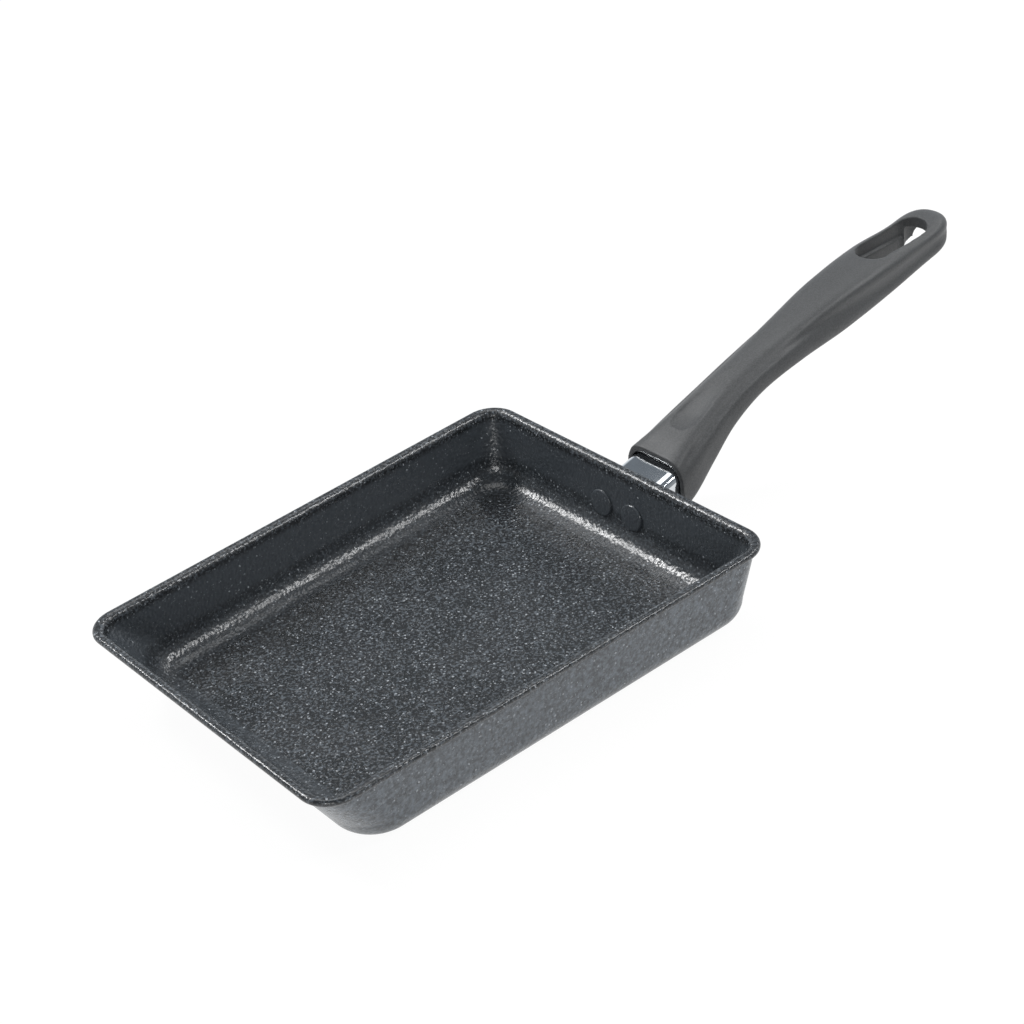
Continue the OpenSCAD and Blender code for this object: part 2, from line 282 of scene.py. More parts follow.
@dataclass(frozen=True)
class FleckEffect(Effect):
    """Pale flecks, finer dust and a worm-like mottle, sprayed in uneven patches.

    patch_size is in millimetres, and each scale divides the group's Size.
    """

    patch_size: float = 26.0
    patch_range: Point = (-0.10, 0.55)
    pull: float = 0.9
    fleck_and_glint_share: float = 0.40
    fleck_reach: float = 0.40
    dust_scale: float = 1.6
    dust_share: float = 0.85
    dust_reach: float = 0.46
    worm_scale: float = 1.25
    worm_range: Point = (0.46, 0.74)
    relief_scale: float = 1.1
    fleck_relief: float = 0.3
    smallest: float = 0.45
    core: float = 0.45
    faintest: float = 0.25

    def lay(self, sheet: GroupSheet) -> Sequence[Socket]:
        """Lay flecks from two sizes of cell whose shapes are pulled about by noise.

        Args:
            sheet: the group's sheet.

        Returns:
            Flecks, dust, mottle and height.
        """
        drift = sheet.scaled(sheet.cloud(sheet.scaled(sheet.place, self.pull), detail=2.0)[1], self.pull)
        pulled = sheet.node("ShaderNodeVectorMath", sheet.place, drift, operation="ADD").outputs[0]
        patch = sheet.cloud(sheet.scaled(sheet.given["Place"], 1 / self.patch_size), detail=2.0)[0]
        spread = sheet.times(sheet.given["Share"], sheet.step(patch, *self.patch_range))
        flecks = self.cells(sheet, pulled, sheet.times(spread, self.fleck_and_glint_share), self.fleck_reach)
        finer = sheet.scaled(pulled, self.dust_scale)
        dust = self.cells(sheet, finer, sheet.times(spread, self.dust_share), self.dust_reach)
        worms = sheet.cloud(sheet.scaled(sheet.place, self.worm_scale), detail=1.0, roughness=0.6)[0]
        mottle = sheet.times(sheet.step(worms, *self.worm_range), spread)
        waves = sheet.cloud(sheet.scaled(sheet.place, self.relief_scale), detail=0.0)[0]
        return flecks, dust, mottle, sheet.line(flecks, self.fleck_relief, waves)

    def cells(self, sheet: NodeSheet, place: Feed, share: Feed, reach: float) -> Socket:
        """Fill a share of the cells with one fleck each, no two alike in size and strength.

        Args:
            sheet: the group's sheet.
            place: coordinates in cells.
            share: how many of the cells hold a fleck.
            reach: radius of the largest fleck, in cells.

        Returns:
            A mask that is 1 inside a bright fleck.
        """
        cells = sheet.fill(sheet.node("ShaderNodeTexVoronoi"), Vector=place, Scale=1.0, Randomness=1.0)
        cell = cells.outputs
        chance = sheet.node("ShaderNodeSeparateColor", cell["Color"]).outputs
        lucky = sheet.calc("LESS_THAN", chance[0], share)
        radius = sheet.line(chance[1], (1 - self.smallest) * reach, self.smallest * reach)
        inside = sheet.step(cell["Distance"], radius, sheet.times(radius, self.core))
        strength = sheet.line(chance[2], 1 - self.faintest, self.faintest)
        return sheet.times(sheet.times(lucky, inside), strength)


@dataclass(frozen=True)
class GrainEffect(Effect):
    """The fine matte grain of a moulded or sprayed skin."""

    shade_range: Point = (0.3, 0.7)
    fine_scale: float = 3.3
    fine_relief: float = 0.4

    def lay(self, sheet: GroupSheet) -> Sequence[Socket]:
        """Lay two sizes of noise over each other.

        Args:
            sheet: the group's sheet.

        Returns:
            Shade around one half, and height.
        """
        coarse = sheet.cloud(sheet.place, detail=2.0, roughness=0.7)[0]
        fine = sheet.cloud(sheet.scaled(sheet.place, self.fine_scale), detail=1.0)[0]
        return sheet.step(coarse, *self.shade_range), sheet.line(fine, self.fine_relief, coarse)


@dataclass(frozen=True)
class SmudgeEffect(Effect):
    """Broad, faint clouds left by handling and heat."""

    smudge_range: Point = (0.35, 0.7)

    def lay(self, sheet: GroupSheet) -> Sequence[Socket]:
        """Lay a broad noise, from 0 to the group's Amount."""
        smudge = sheet.step(sheet.cloud(sheet.place, detail=4.0, roughness=0.6)[0], *self.smudge_range)
        return (sheet.times(smudge, sheet.given["Amount"]),)


@dataclass(frozen=True)
class BrushEffect(Effect):
    """Lines that a belt leaves on steel, all along X."""

    shade_range: Point = (0.3, 0.7)
    stretch: tuple[float, float, float] = (0.05, 1.0, 1.0)

    def lay(self, sheet: GroupSheet) -> Sequence[Socket]:
        """Lay a noise that is stretched along X.

        Args:
            sheet: the group's sheet.

        Returns:
            Shade around one half, and height.
        """
        drawn = sheet.fill(sheet.node("ShaderNodeMapping"), Vector=sheet.place, Scale=self.stretch)
        lines = sheet.cloud(drawn.outputs[0], detail=3.0, roughness=0.65)[0]
        return sheet.step(lines, *self.shade_range), lines


FLECKS = FleckEffect("sprayed flecks", (("Size", 1.3), ("Share", 1.0)),
                     ("Flecks", "Dust", "Mottle", "Height"))
GRAIN = GrainEffect("moulded grain", (("Size", 0.3),), ("Shade", "Height"))
SMUDGES = SmudgeEffect("handling smudges", (("Size", 20.0), ("Amount", 1.0)), ("Smudge",))
BRUSHING = BrushEffect("belt brushing", (("Size", 0.3),), ("Shade", "Height"))


@dataclass(frozen=True)
class Finish:
    """A material and the slot of the record that it stands for."""

    slot: Slot
    title: str

    def lay(self, sheet: SurfaceSheet) -> None:
        """Feed the shader from this finish's own nodes, on the material's sheet."""
        raise NotImplementedError

    def material(self) -> bpy.types.Material:
        """Give the material, which is made the first time that it is asked for.

        Returns:
            The material.
        """
        known = bpy.data.materials.get(self.title)
        if known is not None:
            return known
        made = bpy.data.materials.new(self.title)
        self.lay(SurfaceSheet(cleared(made)))
        return made


@dataclass(frozen=True)
class SpeckledCoat(Finish):
    """Charcoal non-stick coat with pale stone flecks. Tones are greys, and sizes are in millimetres."""

    ground: float = 30.0
    # Tone of the palest ground, used most on the inner walls, where it is painted light that lifts their
    # shade.
    pale: float = 70.0
    blotch: float = 118.0
    vein: float = 92.0
    fleck: float = 180.0
    cool: float = 0.07
    zone: Zone | None = None
    fleck_size: float = 1.2
    blotch_size: float = 1.6
    smudge_size: float = 24.0
    dust: float = 0.8
    rough: float = 0.25
    smear: float = 0.08
    refraction: float = 1.6
    relief: float = 0.16

    def lay(self, sheet: SurfaceSheet) -> None:
        """Lay flecks and ground by the values that the piece's own layers give, or by one zone's.

        Args:
            sheet: the material's sheet.
        """
        # The zone values paint light: extra flecks on the lip and inner fillets stand partly for highlight,
        # and the palest ground on the inner walls lifts their shade.
        share, paleness, blotched = self.zone.value if self.zone else [
            sheet.node("ShaderNodeAttribute", attribute_name=name).outputs["Fac"] for name in ZONE_LAYERS]
        flecks = FLECKS.placed(sheet, Size=self.fleck_size, Share=share)
        smudge = SMUDGES.placed(sheet, Size=self.smudge_size, Amount=1.0)[0]
        blotches = SMUDGES.placed(sheet, Size=self.blotch_size, Amount=blotched)[0]
        colour = sheet.mix(paleness, tone(self.ground, self.cool), tone(self.pale, self.cool))
        for cover, laid in (
                (blotches, tone(self.blotch, self.cool)),
                (flecks["Mottle"], tone(self.vein, self.cool)),
                (sheet.times(flecks["Dust"], self.dust), tone(self.fleck * self.dust, 0.5 * self.cool)),
                (flecks["Flecks"], tone(self.fleck, 0.5 * self.cool))):
            colour = sheet.mix(cover, colour, laid)
        rough = sheet.line(smudge, self.smear, self.rough)
        sheet.shade(flecks["Height"], self.relief, Base_Color=colour, Roughness=rough, IOR=self.refraction)


@dataclass(frozen=True)
class MouldedPlastic(Finish):
    """Matte phenolic with the fine grain of its mould, a little glossier where it is handled."""

    colour: float = 71.0
    cool: float = 0.02
    contrast: float = 0.13
    handled: float = 1.12
    handled_share: float = 0.35
    grain_size: float = 0.55
    smudge_size: float = 18.0
    rough: float = 0.50
    smear: float = -0.06
    relief: float = 0.05

    def lay(self, sheet: SurfaceSheet) -> None:
        """Lay the grain in colour, gloss and height.

        Args:
            sheet: the material's sheet.
        """
        grain = GRAIN.placed(sheet, Size=self.grain_size)
        smudge = SMUDGES.placed(sheet, Size=self.smudge_size, Amount=1.0)[0]
        shades = [tone(self.colour * factor, self.cool) for factor in (1 - self.contrast, 1 + self.contrast)]
        grained = sheet.mix(grain["Shade"], *shades)
        touched = sheet.times(smudge, self.handled_share)
        colour = sheet.mix(touched, grained, tone(self.colour * self.handled, self.cool))
        rough = sheet.line(smudge, self.smear, self.rough)
        sheet.shade(grain["Height"], self.relief, Base_Color=colour, Roughness=rough)


@dataclass(frozen=True)
class PlatedMetal(Finish):
    """Bright plating: chrome, or the duller zinc of a small fastener."""

    colour: float = 225.0
    cool: float = 0.02
    dulled: float = 0.93
    smudge_size: float = 6.0
    grain_size: float = 0.8
    rough: float = 0.10
    smear: float = 0.08
    relief: float = 0.004

    def lay(self, sheet: SurfaceSheet) -> None:
        """Lay faint smears over an even plating.

        Args:
            sheet: the material's sheet.
        """
        smudge = SMUDGES.placed(sheet, Size=self.smudge_size, Amount=1.0)[0]
        grain = GRAIN.placed(sheet, Size=self.grain_size)
        colour = sheet.mix(smudge, tone(self.colour, self.cool), tone(self.colour * self.dulled, self.cool))
        rough = sheet.line(smudge, self.smear, self.rough)
        sheet.shade(grain["Height"], self.relief, Base_Color=colour, Roughness=rough, Metallic=1.0)


@dataclass(frozen=True)
class BrushedSteel(Finish):
    """Plain steel with the lines of a belt and a stain from heat."""

    colour: float = 176.0
    line_shade: float = 0.9
    line_size: float = 0.35
    stain_shade: float = 0.75
    stain_cool: float = -0.03
    stain_share: float = 0.3
    smudge_size: float = 9.0
    rough: float = 0.27
    smear: float = 0.14
    relief: float = 0.02

    def lay(self, sheet: SurfaceSheet) -> None:
        """Lay belt lines in colour, gloss and height, and the stain over them.

        Args:
            sheet: the material's sheet.
        """
        lines = BRUSHING.placed(sheet, Size=self.line_size)
        smudge = SMUDGES.placed(sheet, Size=self.smudge_size, Amount=1.0)[0]
        brushed = sheet.mix(lines["Shade"], tone(self.colour * self.line_shade), tone(self.colour))
        stain = tone(self.colour * self.stain_shade, self.stain_cool)
        colour = sheet.mix(sheet.times(smudge, self.stain_share), brushed, stain)
        rough = sheet.line(lines["Shade"], self.smear, self.rough)
        sheet.shade(lines["Height"], self.relief, Base_Color=colour, Roughness=rough, Metallic=1.0)


PAN_COAT = SpeckledCoat(Slot.COAT, "stone fleck coat")
# The rivet head takes the inner walls' zone, whose palest ground is painted light that lifts shade.
HEAD_COAT = SpeckledCoat(Slot.RIVET, "coated rivet head", zone=Zone.INNER_WALL)
RIVET_METAL = PlatedMetal(Slot.RIVET, "bare rivet aluminium", colour=205.0, rough=0.32, smear=0.10)
GRIP_PLASTIC = MouldedPlastic(Slot.GRIP, "moulded phenolic")
CHROME = PlatedMetal(Slot.CHROME, "polished chrome", colour=222.0, cool=0.015, rough=0.07, smear=0.05)
STEEL = BrushedSteel(Slot.BRACKET, "brushed bracket steel")
ZINC = PlatedMetal(Slot.SCREW, "bright zinc", colour=200.0, cool=0.03, rough=0.24, smear=0.12)


def arc(centre: Point, radius: float, start: float, sweep: float, steps: int) -> list[Point]:
    """Draw an arc of chords with both its ends; start and sweep are in degrees."""
    angles = [math.radians(start + sweep * k / steps) for k in range(steps + 1)]
    return [(centre[0] + radius * math.cos(a), centre[1] + radius * math.sin(a)) for a in angles]


def rounded_box(width: float, height: float, corner: float, steps: int = 12) -> list[Point]:
    """Draw a rectangle with round corners about the middle.

    Args:
        width: its size along the first axis.
        height: its size along the second.
        corner: radius of its corners.
        steps: chords in each corner.

    Returns:
        The outline, counter-clockwise.
    """
    x, y = width / 2 - corner, height / 2 - corner
    centres = ((x, y), (-x, y), (-x, -y), (x, -y))
    return [point for k, centre in enumerate(centres) for point in arc(centre, corner, 90 * k, 90, steps)]


def stadium(length: float, width: float, steps: int = 24) -> list[Point]:
    """Draw a straight slot with round ends, counter-clockwise from x = 0 to its length."""
    near, far = (width / 2, 0), (length - width / 2, 0)
    return arc(near, width / 2, 90, 180, steps) + arc(far, width / 2, -90, 180, steps)


def raised(outline: Sequence[Point], height: float) -> list[Vector]:
    """Lift a flat outline to a height."""
    return [Vector((x, y, height)) for x, y in outline]


def cover(body: bmesh.types.BMesh, rows: Sequence[Sequence[bmesh.types.BMVert]], closed: bool) -> None:
    """Lay faces from row to row, and cap both ends or join them.

    Args:
        body: the mesh that the vertices are in.
        rows: rows with the same number of vertices, each wound alike.
        closed: whether the last row joins the first, as round a tube with a bore.
    """
    for low, high in zip(rows, rows[1:] + rows[:1] if closed else rows[1:]):
        for k, corner in enumerate(low):
            follow = (k + 1) % len(low)
            body.faces.new((corner, low[follow], high[follow], high[k]))
    if not closed:
        body.faces.new(rows[0][::-1])
        body.faces.new(rows[-1])


def from_bmesh(name: str, body: bmesh.types.BMesh) -> bpy.types.Object:
    """Close a mesh that was being edited and put it in the scene.

    Args:
        name: the new object's name.
        body: the edited mesh, in metres.

    Returns:
        The new object, smooth shaded, with its faces outwards.
    """
    bmesh.ops.remove_doubles(body, verts=body.verts, dist=1e-6)
    bmesh.ops.recalc_face_normals(body, faces=body.faces)
    for face in body.faces:
        face.smooth = True
    mesh = bpy.data.meshes.new(name)
    body.to_mesh(mesh)
    body.free()
    made = bpy.data.objects.new(name, mesh)
    bpy.context.scene.collection.objects.link(made)
    return made


def skin(name: str, rings: Sequence[Sequence[Vector]], closed: bool = False,
         zones: Sequence[Zone] = ()) -> bpy.types.Object:
    """Stretch a skin over a stack of rings, in millimetres, and cap or join its ends.

    Args:
        name: the new object's name.
        rings: outlines with the same number of points, each wound alike.
        closed: whether the last ring joins the first.
        zones: the zone of each ring, for a coated piece.

    Returns:
        The new object.
    """
    body = bmesh.new()
    for layer_name in ZONE_LAYERS if zones else ():
        body.verts.layers.float.new(layer_name)
    rows = [[body.verts.new(point * MM) for point in ring] for ring in rings]
    for row, zone in zip(rows, zones):
        for layer_name, value in zip(ZONE_LAYERS, zone.value):
            layer = body.verts.layers.float[layer_name]
            for vertex in row:
                vertex[layer] = value
    cover(body, rows, closed)
    return from_bmesh(name, body)


def lathe(profile: Sequence[Point], steps: int) -> bmesh.types.BMesh:
    """Turn a profile round the Z axis.

    Args:
        profile: radius and height of each point, in millimetres, from one end of the axis to the other.
        steps: number of sides.

    Returns:
        The closed solid, in metres.
    """
    body = bmesh.new()
    turns = [math.tau * k / steps for k in range(steps)]
    rows = [[body.verts.new((radius * math.cos(a) * MM, radius * math.sin(a) * MM, height * MM))
             for a in turns] for radius, height in profile]
    cover(body, rows, closed=False)
    return body


def baked(source: bpy.types.Object, name: str) -> bpy.types.Object:
    """Turn an object and its modifiers into a plain mesh object, and drop the source.

    Args:
        source: the object with modifiers.
        name: the plain object's name.

    Returns:
        The plain object.
    """
    graph = bpy.context.evaluated_depsgraph_get()
    mesh = bpy.data.meshes.new_from_object(source.evaluated_get(graph))
    bpy.data.objects.remove(source)
    made = bpy.data.objects.new(name, mesh)
    mesh.name = name
    bpy.context.scene.collection.objects.link(made)
    return made


def combine(source: bpy.types.Object, tools: Iterable[bpy.types.Object],
            operation: str = "DIFFERENCE") -> None:
    """Add one exact boolean for each tool.

    Args:
        source: the object that is changed.
        tools: closed objects that are taken away from it or joined to it.
        operation: DIFFERENCE or UNION.
    """
    for tool in tools:
        cut = source.modifiers.new(tool.name, "BOOLEAN")
        cut.operation, cut.solver, cut.object = operation, "EXACT", tool


def sharpen(piece: bpy.types.Object, degrees: float) -> None:
    """Let edges that turn by more than the angle stay crisp."""
    piece.data.set_sharp_from_angle(angle=math.radians(degrees))


def drop(tools: Iterable[bpy.types.Object]) -> None:
    """Take the tools out of the file."""
    for tool in tools:
        bpy.data.objects.remove(tool)


def hand_over(piece: bpy.types.Object, finish: Finish, *nodes: str) -> None:
    """Let a finished piece stand for its CAD nodes on the one rigid body.

    Args:
        piece: the finished object.
        finish: the finish it is dressed in, unless it has materials of its own.
        *nodes: the nodes that it replaces.
    """
    if not piece.data.materials:
        piece.data.materials.append(finish.material())
    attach(piece, "root")
    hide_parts(*nodes)
    LOG.info("%s: %d faces for %s", piece.name, len(piece.data.polygons), ", ".join(nodes))


class PieceTree:
    """Geometry Nodes tree with named inputs that makes a finished piece from a small one."""

    title = ""
    inputs: tuple[tuple[str, str], ...] = ()

    def __init__(self) -> None:
        """Lay the tree out with its named inputs; the first is the small piece's geometry."""
        self.tree = bpy.data.node_groups.new(self.title, "GeometryNodeTree")
        self.sockets: dict[str, str] = {}
        for name, kind in self.inputs:
            made = self.tree.interface.new_socket(name, in_out="INPUT", socket_type=f"NodeSocket{kind}")
            self.sockets[name] = made.identifier
        self.tree.interface.new_socket("Finished", in_out="OUTPUT", socket_type="NodeSocketGeometry")
        sheet = NodeSheet(self.tree)
        sheet.node("NodeGroupOutput", self.lay(sheet, sheet.node("NodeGroupInput").outputs))

    def lay(self, sheet: NodeSheet, given: Outputs) -> Socket:
        """Lay the nodes between the tree's inputs and the finished geometry, which is given back."""
        raise NotImplementedError

    def run(self, source: bpy.types.Object, name: str, **values: object) -> bpy.types.Object:
        """Make the finished piece with the given inputs.

        Args:
            source: the small piece, which is used up.
            name: name of the finished object.
            **values: the tree's inputs by name.

        Returns:
            The finished piece as a plain mesh object.
        """
        nodes = source.modifiers.new(self.title, "NODES")
        nodes.node_group = self.tree
        for key, value in values.items():
            nodes[self.sockets[key]] = value
        return baked(source, name)


class RowTree(PieceTree):
    """Repeats a piece in a straight row; faces marked as bare metal get a finish of their own."""

    title = "row of copies"
    inputs = (("Piece", "Geometry"), ("Count", "Int"), ("Start", "Vector"), ("Step", "Vector"),
              ("Turn", "Rotation"), ("Skin", "Material"), ("Bare", "Material"))

    def lay(self, sheet: NodeSheet, given: Outputs) -> Socket:
        """Lay copies on a line of points and set both finishes.

        Args:
            sheet: the tree's sheet.
            given: the inputs by name.

        Returns:
            The row's geometry.
        """
        line = sheet.fill(sheet.node("GeometryNodeMeshLine"), Count=given["Count"],
                          Start_Location=given["Start"], Offset=given["Step"])
        copies = sheet.fill(sheet.node("GeometryNodeInstanceOnPoints"), Points=line.outputs[0],
                            Instance=given["Piece"], Rotation=given["Turn"])
        real = sheet.node("GeometryNodeRealizeInstances", copies.outputs[0])
        coated = sheet.fill(sheet.node("GeometryNodeSetMaterial"), Geometry=real.outputs[0],
                            Material=given["Skin"])
        bare = sheet.node("GeometryNodeInputNamedAttribute", "bare_metal", data_type="BOOLEAN")
        return sheet.fill(sheet.node("GeometryNodeSetMaterial"), Geometry=coated.outputs[0],
                          Selection=bare.outputs["Attribute"], Material=given["Bare"]).outputs[0]


class CoilTree(PieceTree):
    """Sweeps a small section along a helix round a body: a thread or a spring washer."""

    title = "wound section"
    inputs = (("Body", "Geometry"), ("Turns", "Float"), ("Radius", "Float"), ("Climb", "Float"),
              ("Width", "Float"), ("Depth", "Float"), ("Base", "Float"), ("Skin", "Material"))
    sides = 48

    def lay(self, sheet: NodeSheet, given: Outputs) -> Socket:
        """Sweep the section, lift it to its base and join it to the body.

        Args:
            sheet: the tree's sheet.
            given: the inputs by name.

        Returns:
            The wound piece's geometry.
        """
        helix = sheet.fill(sheet.node("GeometryNodeCurveSpiral"), Resolution=self.sides,
                           Rotations=given["Turns"], Start_Radius=given["Radius"],
                           End_Radius=given["Radius"], Height=given["Climb"])
        section = sheet.fill(sheet.node("GeometryNodeCurvePrimitiveQuadrilateral"), Width=given["Width"],
                             Height=given["Depth"])
        swept = sheet.fill(sheet.node("GeometryNodeCurveToMesh"), Curve=helix.outputs[0],
                           Profile_Curve=section.outputs[0], Fill_Caps=True)
        lift = sheet.fill(sheet.node("ShaderNodeCombineXYZ"), Z=given["Base"])
        moved = sheet.fill(sheet.node("GeometryNodeTransform"), Geometry=swept.outputs[0],
                           Translation=lift.outputs[0])
        joined = sheet.node("GeometryNodeJoinGeometry", given["Body"])
        sheet.feed(joined.inputs[0], moved.outputs[0])
        real = sheet.node("GeometryNodeRealizeInstances", joined.outputs[0])
        return sheet.fill(sheet.node("GeometryNodeSetMaterial"), Geometry=real.outputs[0],
                          Material=given["Skin"]).outputs[0]


AXIS = 0.02
OUT_OF_REACH = 1e3


def spot(x: float, z: float, turn: Matrix = Matrix()) -> Matrix:
    """Give a frame on the pan's middle plane from a place in millimetres and a turn."""
    return Matrix.Translation(Vector((x, 0, z)) * MM) @ turn


@dataclass
class PanShell:
    """The pressed body: floor, four leaning walls and a lip rolled over their top."""

    length: float = 180.0
    width_free: float = 130.0
    width_grip: float = 138.0
    height: float = 29.0
    wall: float = 2.2
    floor: float = 2.6
    overhang: float = 1.8
    rim_corner: float = 11.0
    tub_corner: float = 15.5
    fillet: float = 8.5
    lean_long: float = 0.05
    lean_free: float = 0.56
    lean_grip: float = 0.08
    lip: float = 2.4
    lip_inner: float = 2.4
    root_gap: float = 0.1
    edge_ring: float = 1.2
    floor_ring: float = 9.0
    wall_ring: float = 0.5
    lip_ring: float = 0.4
    zone_ring: float = 2.0
    side_shares: tuple[float, ...] = (0.01, 0.2, 0.4, 0.6, 0.8, 0.99)
    corner_steps: int = 22
    round_steps: int = 14

    @property
    def wall_top(self) -> float:
        """Height at which the lip leaves the wall."""
        return self.height - self.lip

    @property
    def lip_root(self) -> float:
        """Radius of the tight root under the lip."""
        return self.overhang - self.lip / 2 - self.root_gap

    def inset(self, z: float, base: float, lean: float, floor: float) -> float:
        """How far one wall stands inside the rim at a height.

        Args:
            z: the height.
            base: inset of the wall's top.
            lean: millimetres outward for each millimetre up.
            floor: height of the floor on that side of the sheet.

        Returns:
            The inset.
        """
        tilt = math.atan(lean)
        up = z - floor
        if z >= self.wall_top:
            return base
        if up > self.fillet * (1 - math.sin(tilt)):
            return base + (self.wall_top - z) * lean
        reach = base + (self.wall_top - floor - self.fillet) * lean + self.fillet / math.cos(tilt)
        return reach - math.sqrt(max(0.0, self.fillet ** 2 - (self.fillet - up) ** 2))

    def outline(self, z: float, base: float, corner: float, floor: float = 0.0,
                shrink: float = 0.0) -> list[Vector]:
        """Rounded outline of the shell at a height.

        Args:
            z: the height.
            base: inset of the walls' top.
            corner: radius of the outline's corners.
            floor: height of the floor on that side of the sheet.
            shrink: further inset, for rings that lie flat on the floor.

        Returns:
            The outline, counter-clockwise seen from above.
        """
        free_x = -self.length / 2 + self.inset(z, base, self.lean_free, floor) + shrink
        grip_x = self.length / 2 - self.inset(z, base, self.lean_grip, floor) - shrink
        side = self.inset(z, base, self.lean_long, floor) + shrink
        widening = (self.width_grip - self.width_free) / 2 / self.length
        half_free = self.width_free / 2 + (free_x + self.length / 2) * widening - side
        half_grip = self.width_free / 2 + (grip_x + self.length / 2) * widening - side
        centres = ((grip_x - corner, half_grip - corner), (free_x + corner, half_free - corner),
                   (free_x + corner, corner - half_free), (grip_x - corner, corner - half_grip))
        corners = [raised(arc(centre, corner, 90 * k, 90, self.corner_steps), z)
                   for k, centre in enumerate(centres)]
        points: list[Vector] = []
        for turn, follow in zip(corners, corners[1:] + corners[:1]):
            points += turn
            points += [turn[-1].lerp(follow[0], share) for share in self.side_shares]
        return points

    def corner_at(self, z: float, inset: float, floor: float) -> float:
        """Corner radius of a wall: it grows downwards, then shrinks inside the round to the floor.

        Args:
            z: the height.
            inset: how far the wall's top stands inside the rim.
            floor: height of the floor on that side of the sheet.

        Returns:
            The radius.
        """
        up = z - floor
        share = min(1.0, max(0.0, (self.wall_top - z) / (self.wall_top - floor - self.fillet)))
        straight = self.rim_corner - inset + (self.tub_corner - self.rim_corner + self.overhang) * share
        if up > self.fillet:
            return straight
        return straight - self.fillet + math.sqrt(max(0.0, self.fillet ** 2 - (self.fillet - up) ** 2))

    def rings(self) -> list[tuple[list[Vector], Zone]]:
        """Lay outlines from the middle of the underside, over the lip, to the middle of the floor.

        Returns:
            Each outline with its zone.
        """
        quarter = [math.radians(90 * k / self.round_steps) for k in range(self.round_steps + 1)]
        half = [math.radians(-90 + 180 * k / self.round_steps) for k in range(self.round_steps + 1)]
        lip_edge, inside = self.lip / 2, self.overhang + self.wall
        made: list[tuple[list[Vector], Zone]] = []

        def outer(z: float, zone: Zone, shrink: float = 0.0) -> None:
            """Add a ring on the outside of the sheet."""
            corner = self.corner_at(z, self.overhang, 0.0)
            made.append((self.outline(z, self.overhang, corner, 0.0, shrink), zone))

        def inner(z: float, zone: Zone, shrink: float = 0.0) -> None:
            """Add a ring on the inside of the sheet."""
            corner = self.corner_at(z, inside, self.floor)
            made.append((self.outline(z, inside, corner, self.floor, shrink), zone))

        def rim(z: float, inset: float) -> None:
            """Add a ring of the lip."""
            made.append((self.outline(z, inset, self.rim_corner - inset), Zone.LIP))

        # The zones carry painted light: extra flecks on the lip and inner fillets partly paint highlight,
        # and the inner walls get the palest ground to lift their shade.
        outer(0.0, Zone.UNDERSIDE, self.edge_ring)
        for a in quarter:
            outer(self.fillet * (1 - math.cos(a)), Zone.OUTER_WALL)
        lip_foot = self.wall_top - self.lip_root
        for z in (self.fillet + self.wall_ring, lip_foot - self.wall_ring, lip_foot):
            outer(z, Zone.OUTER_WALL)
        for a in quarter[::2][1:]:
            rim(self.wall_top + self.lip_root * (math.sin(a) - 1),
                self.overhang - self.lip_root * (1 - math.cos(a)))
        for a in half:
            rim(self.height - lip_edge + lip_edge * math.sin(a), lip_edge * (1 - math.cos(a)))
        for a in quarter[:-1]:
            rim(self.height - self.lip_inner * (1 - math.cos(a)),
                inside - self.lip_inner * (1 - math.sin(a)))
        inner(self.height - self.lip_inner - self.lip_ring, Zone.LIP)
        inner(self.height - self.lip_inner - self.zone_ring, Zone.INNER_WALL)
        inner(self.floor + self.fillet + self.zone_ring, Zone.INNER_WALL)
        for a in reversed(quarter):
            inner(self.floor + self.fillet * (1 - math.cos(a)), Zone.INNER_FILLET)
        for shrink in (self.edge_ring, self.floor_ring):
            inner(self.floor, Zone.FLOOR, shrink)
        return made

    def build(self) -> bpy.types.Object:
        """Stretch the shell's skin over its rings."""
        rings = self.rings()
        return skin("pan_shell", [ring for ring, _ in rings], zones=[zone for _, zone in rings])

    def dress(self, piece: bpy.types.Object) -> None:
        """Coat the shell inside and out."""
        hand_over(piece, PAN_COAT, "pan_body")


@dataclass
class WallFrame:
    """Where things are fixed: the outer face of the leaning wall, and the bracket's two sheets."""

    shell: PanShell
    rivet_height: float = 13.0
    rise: float = 13.0
    tongue_rise: float = 30.0
    bend_x: float = 108.0
    screw_along: float = 12.7
    neck_lift: float = 0.9
    tongue_lift: float = 4.4
    plate: float = 1.8
    tongue: float = 2.4

    @property
    def face_x(self) -> float:
        """Place of the wall's outer face at the rivets' height."""
        shell = self.shell
        return shell.length / 2 - shell.overhang - (shell.wall_top - self.rivet_height) * shell.lean_grip

    @property
    def wall(self) -> Matrix:
        """Frame on the wall's outer face: Z points away from the pan, X down and Y across."""
        turn = Matrix.Rotation(math.radians(90) + math.atan(self.shell.lean_grip), 4, "Y")
        return spot(self.face_x, self.rivet_height, turn)

    @property
    def neck(self) -> Matrix:
        """Frame at the foot of the neck: Z runs up along the neck and Y across."""
        turn = Matrix.Rotation(math.radians(90 - self.rise), 4, "Y")
        return spot(self.face_x, self.rivet_height + self.neck_lift, turn)

    @property
    def tongue_z(self) -> float:
        """Height of the tongue's level stretch."""
        return self.rivet_height + self.tongue_lift

    @property
    def screw(self) -> Matrix:
        """Frame on the tongue at the grip's screw: Z is square to the tongue."""
        turn = Matrix.Rotation(math.radians(-self.tongue_rise), 4, "Y")
        return spot(self.bend_x, self.tongue_z, turn) @ spot(self.screw_along, 0)


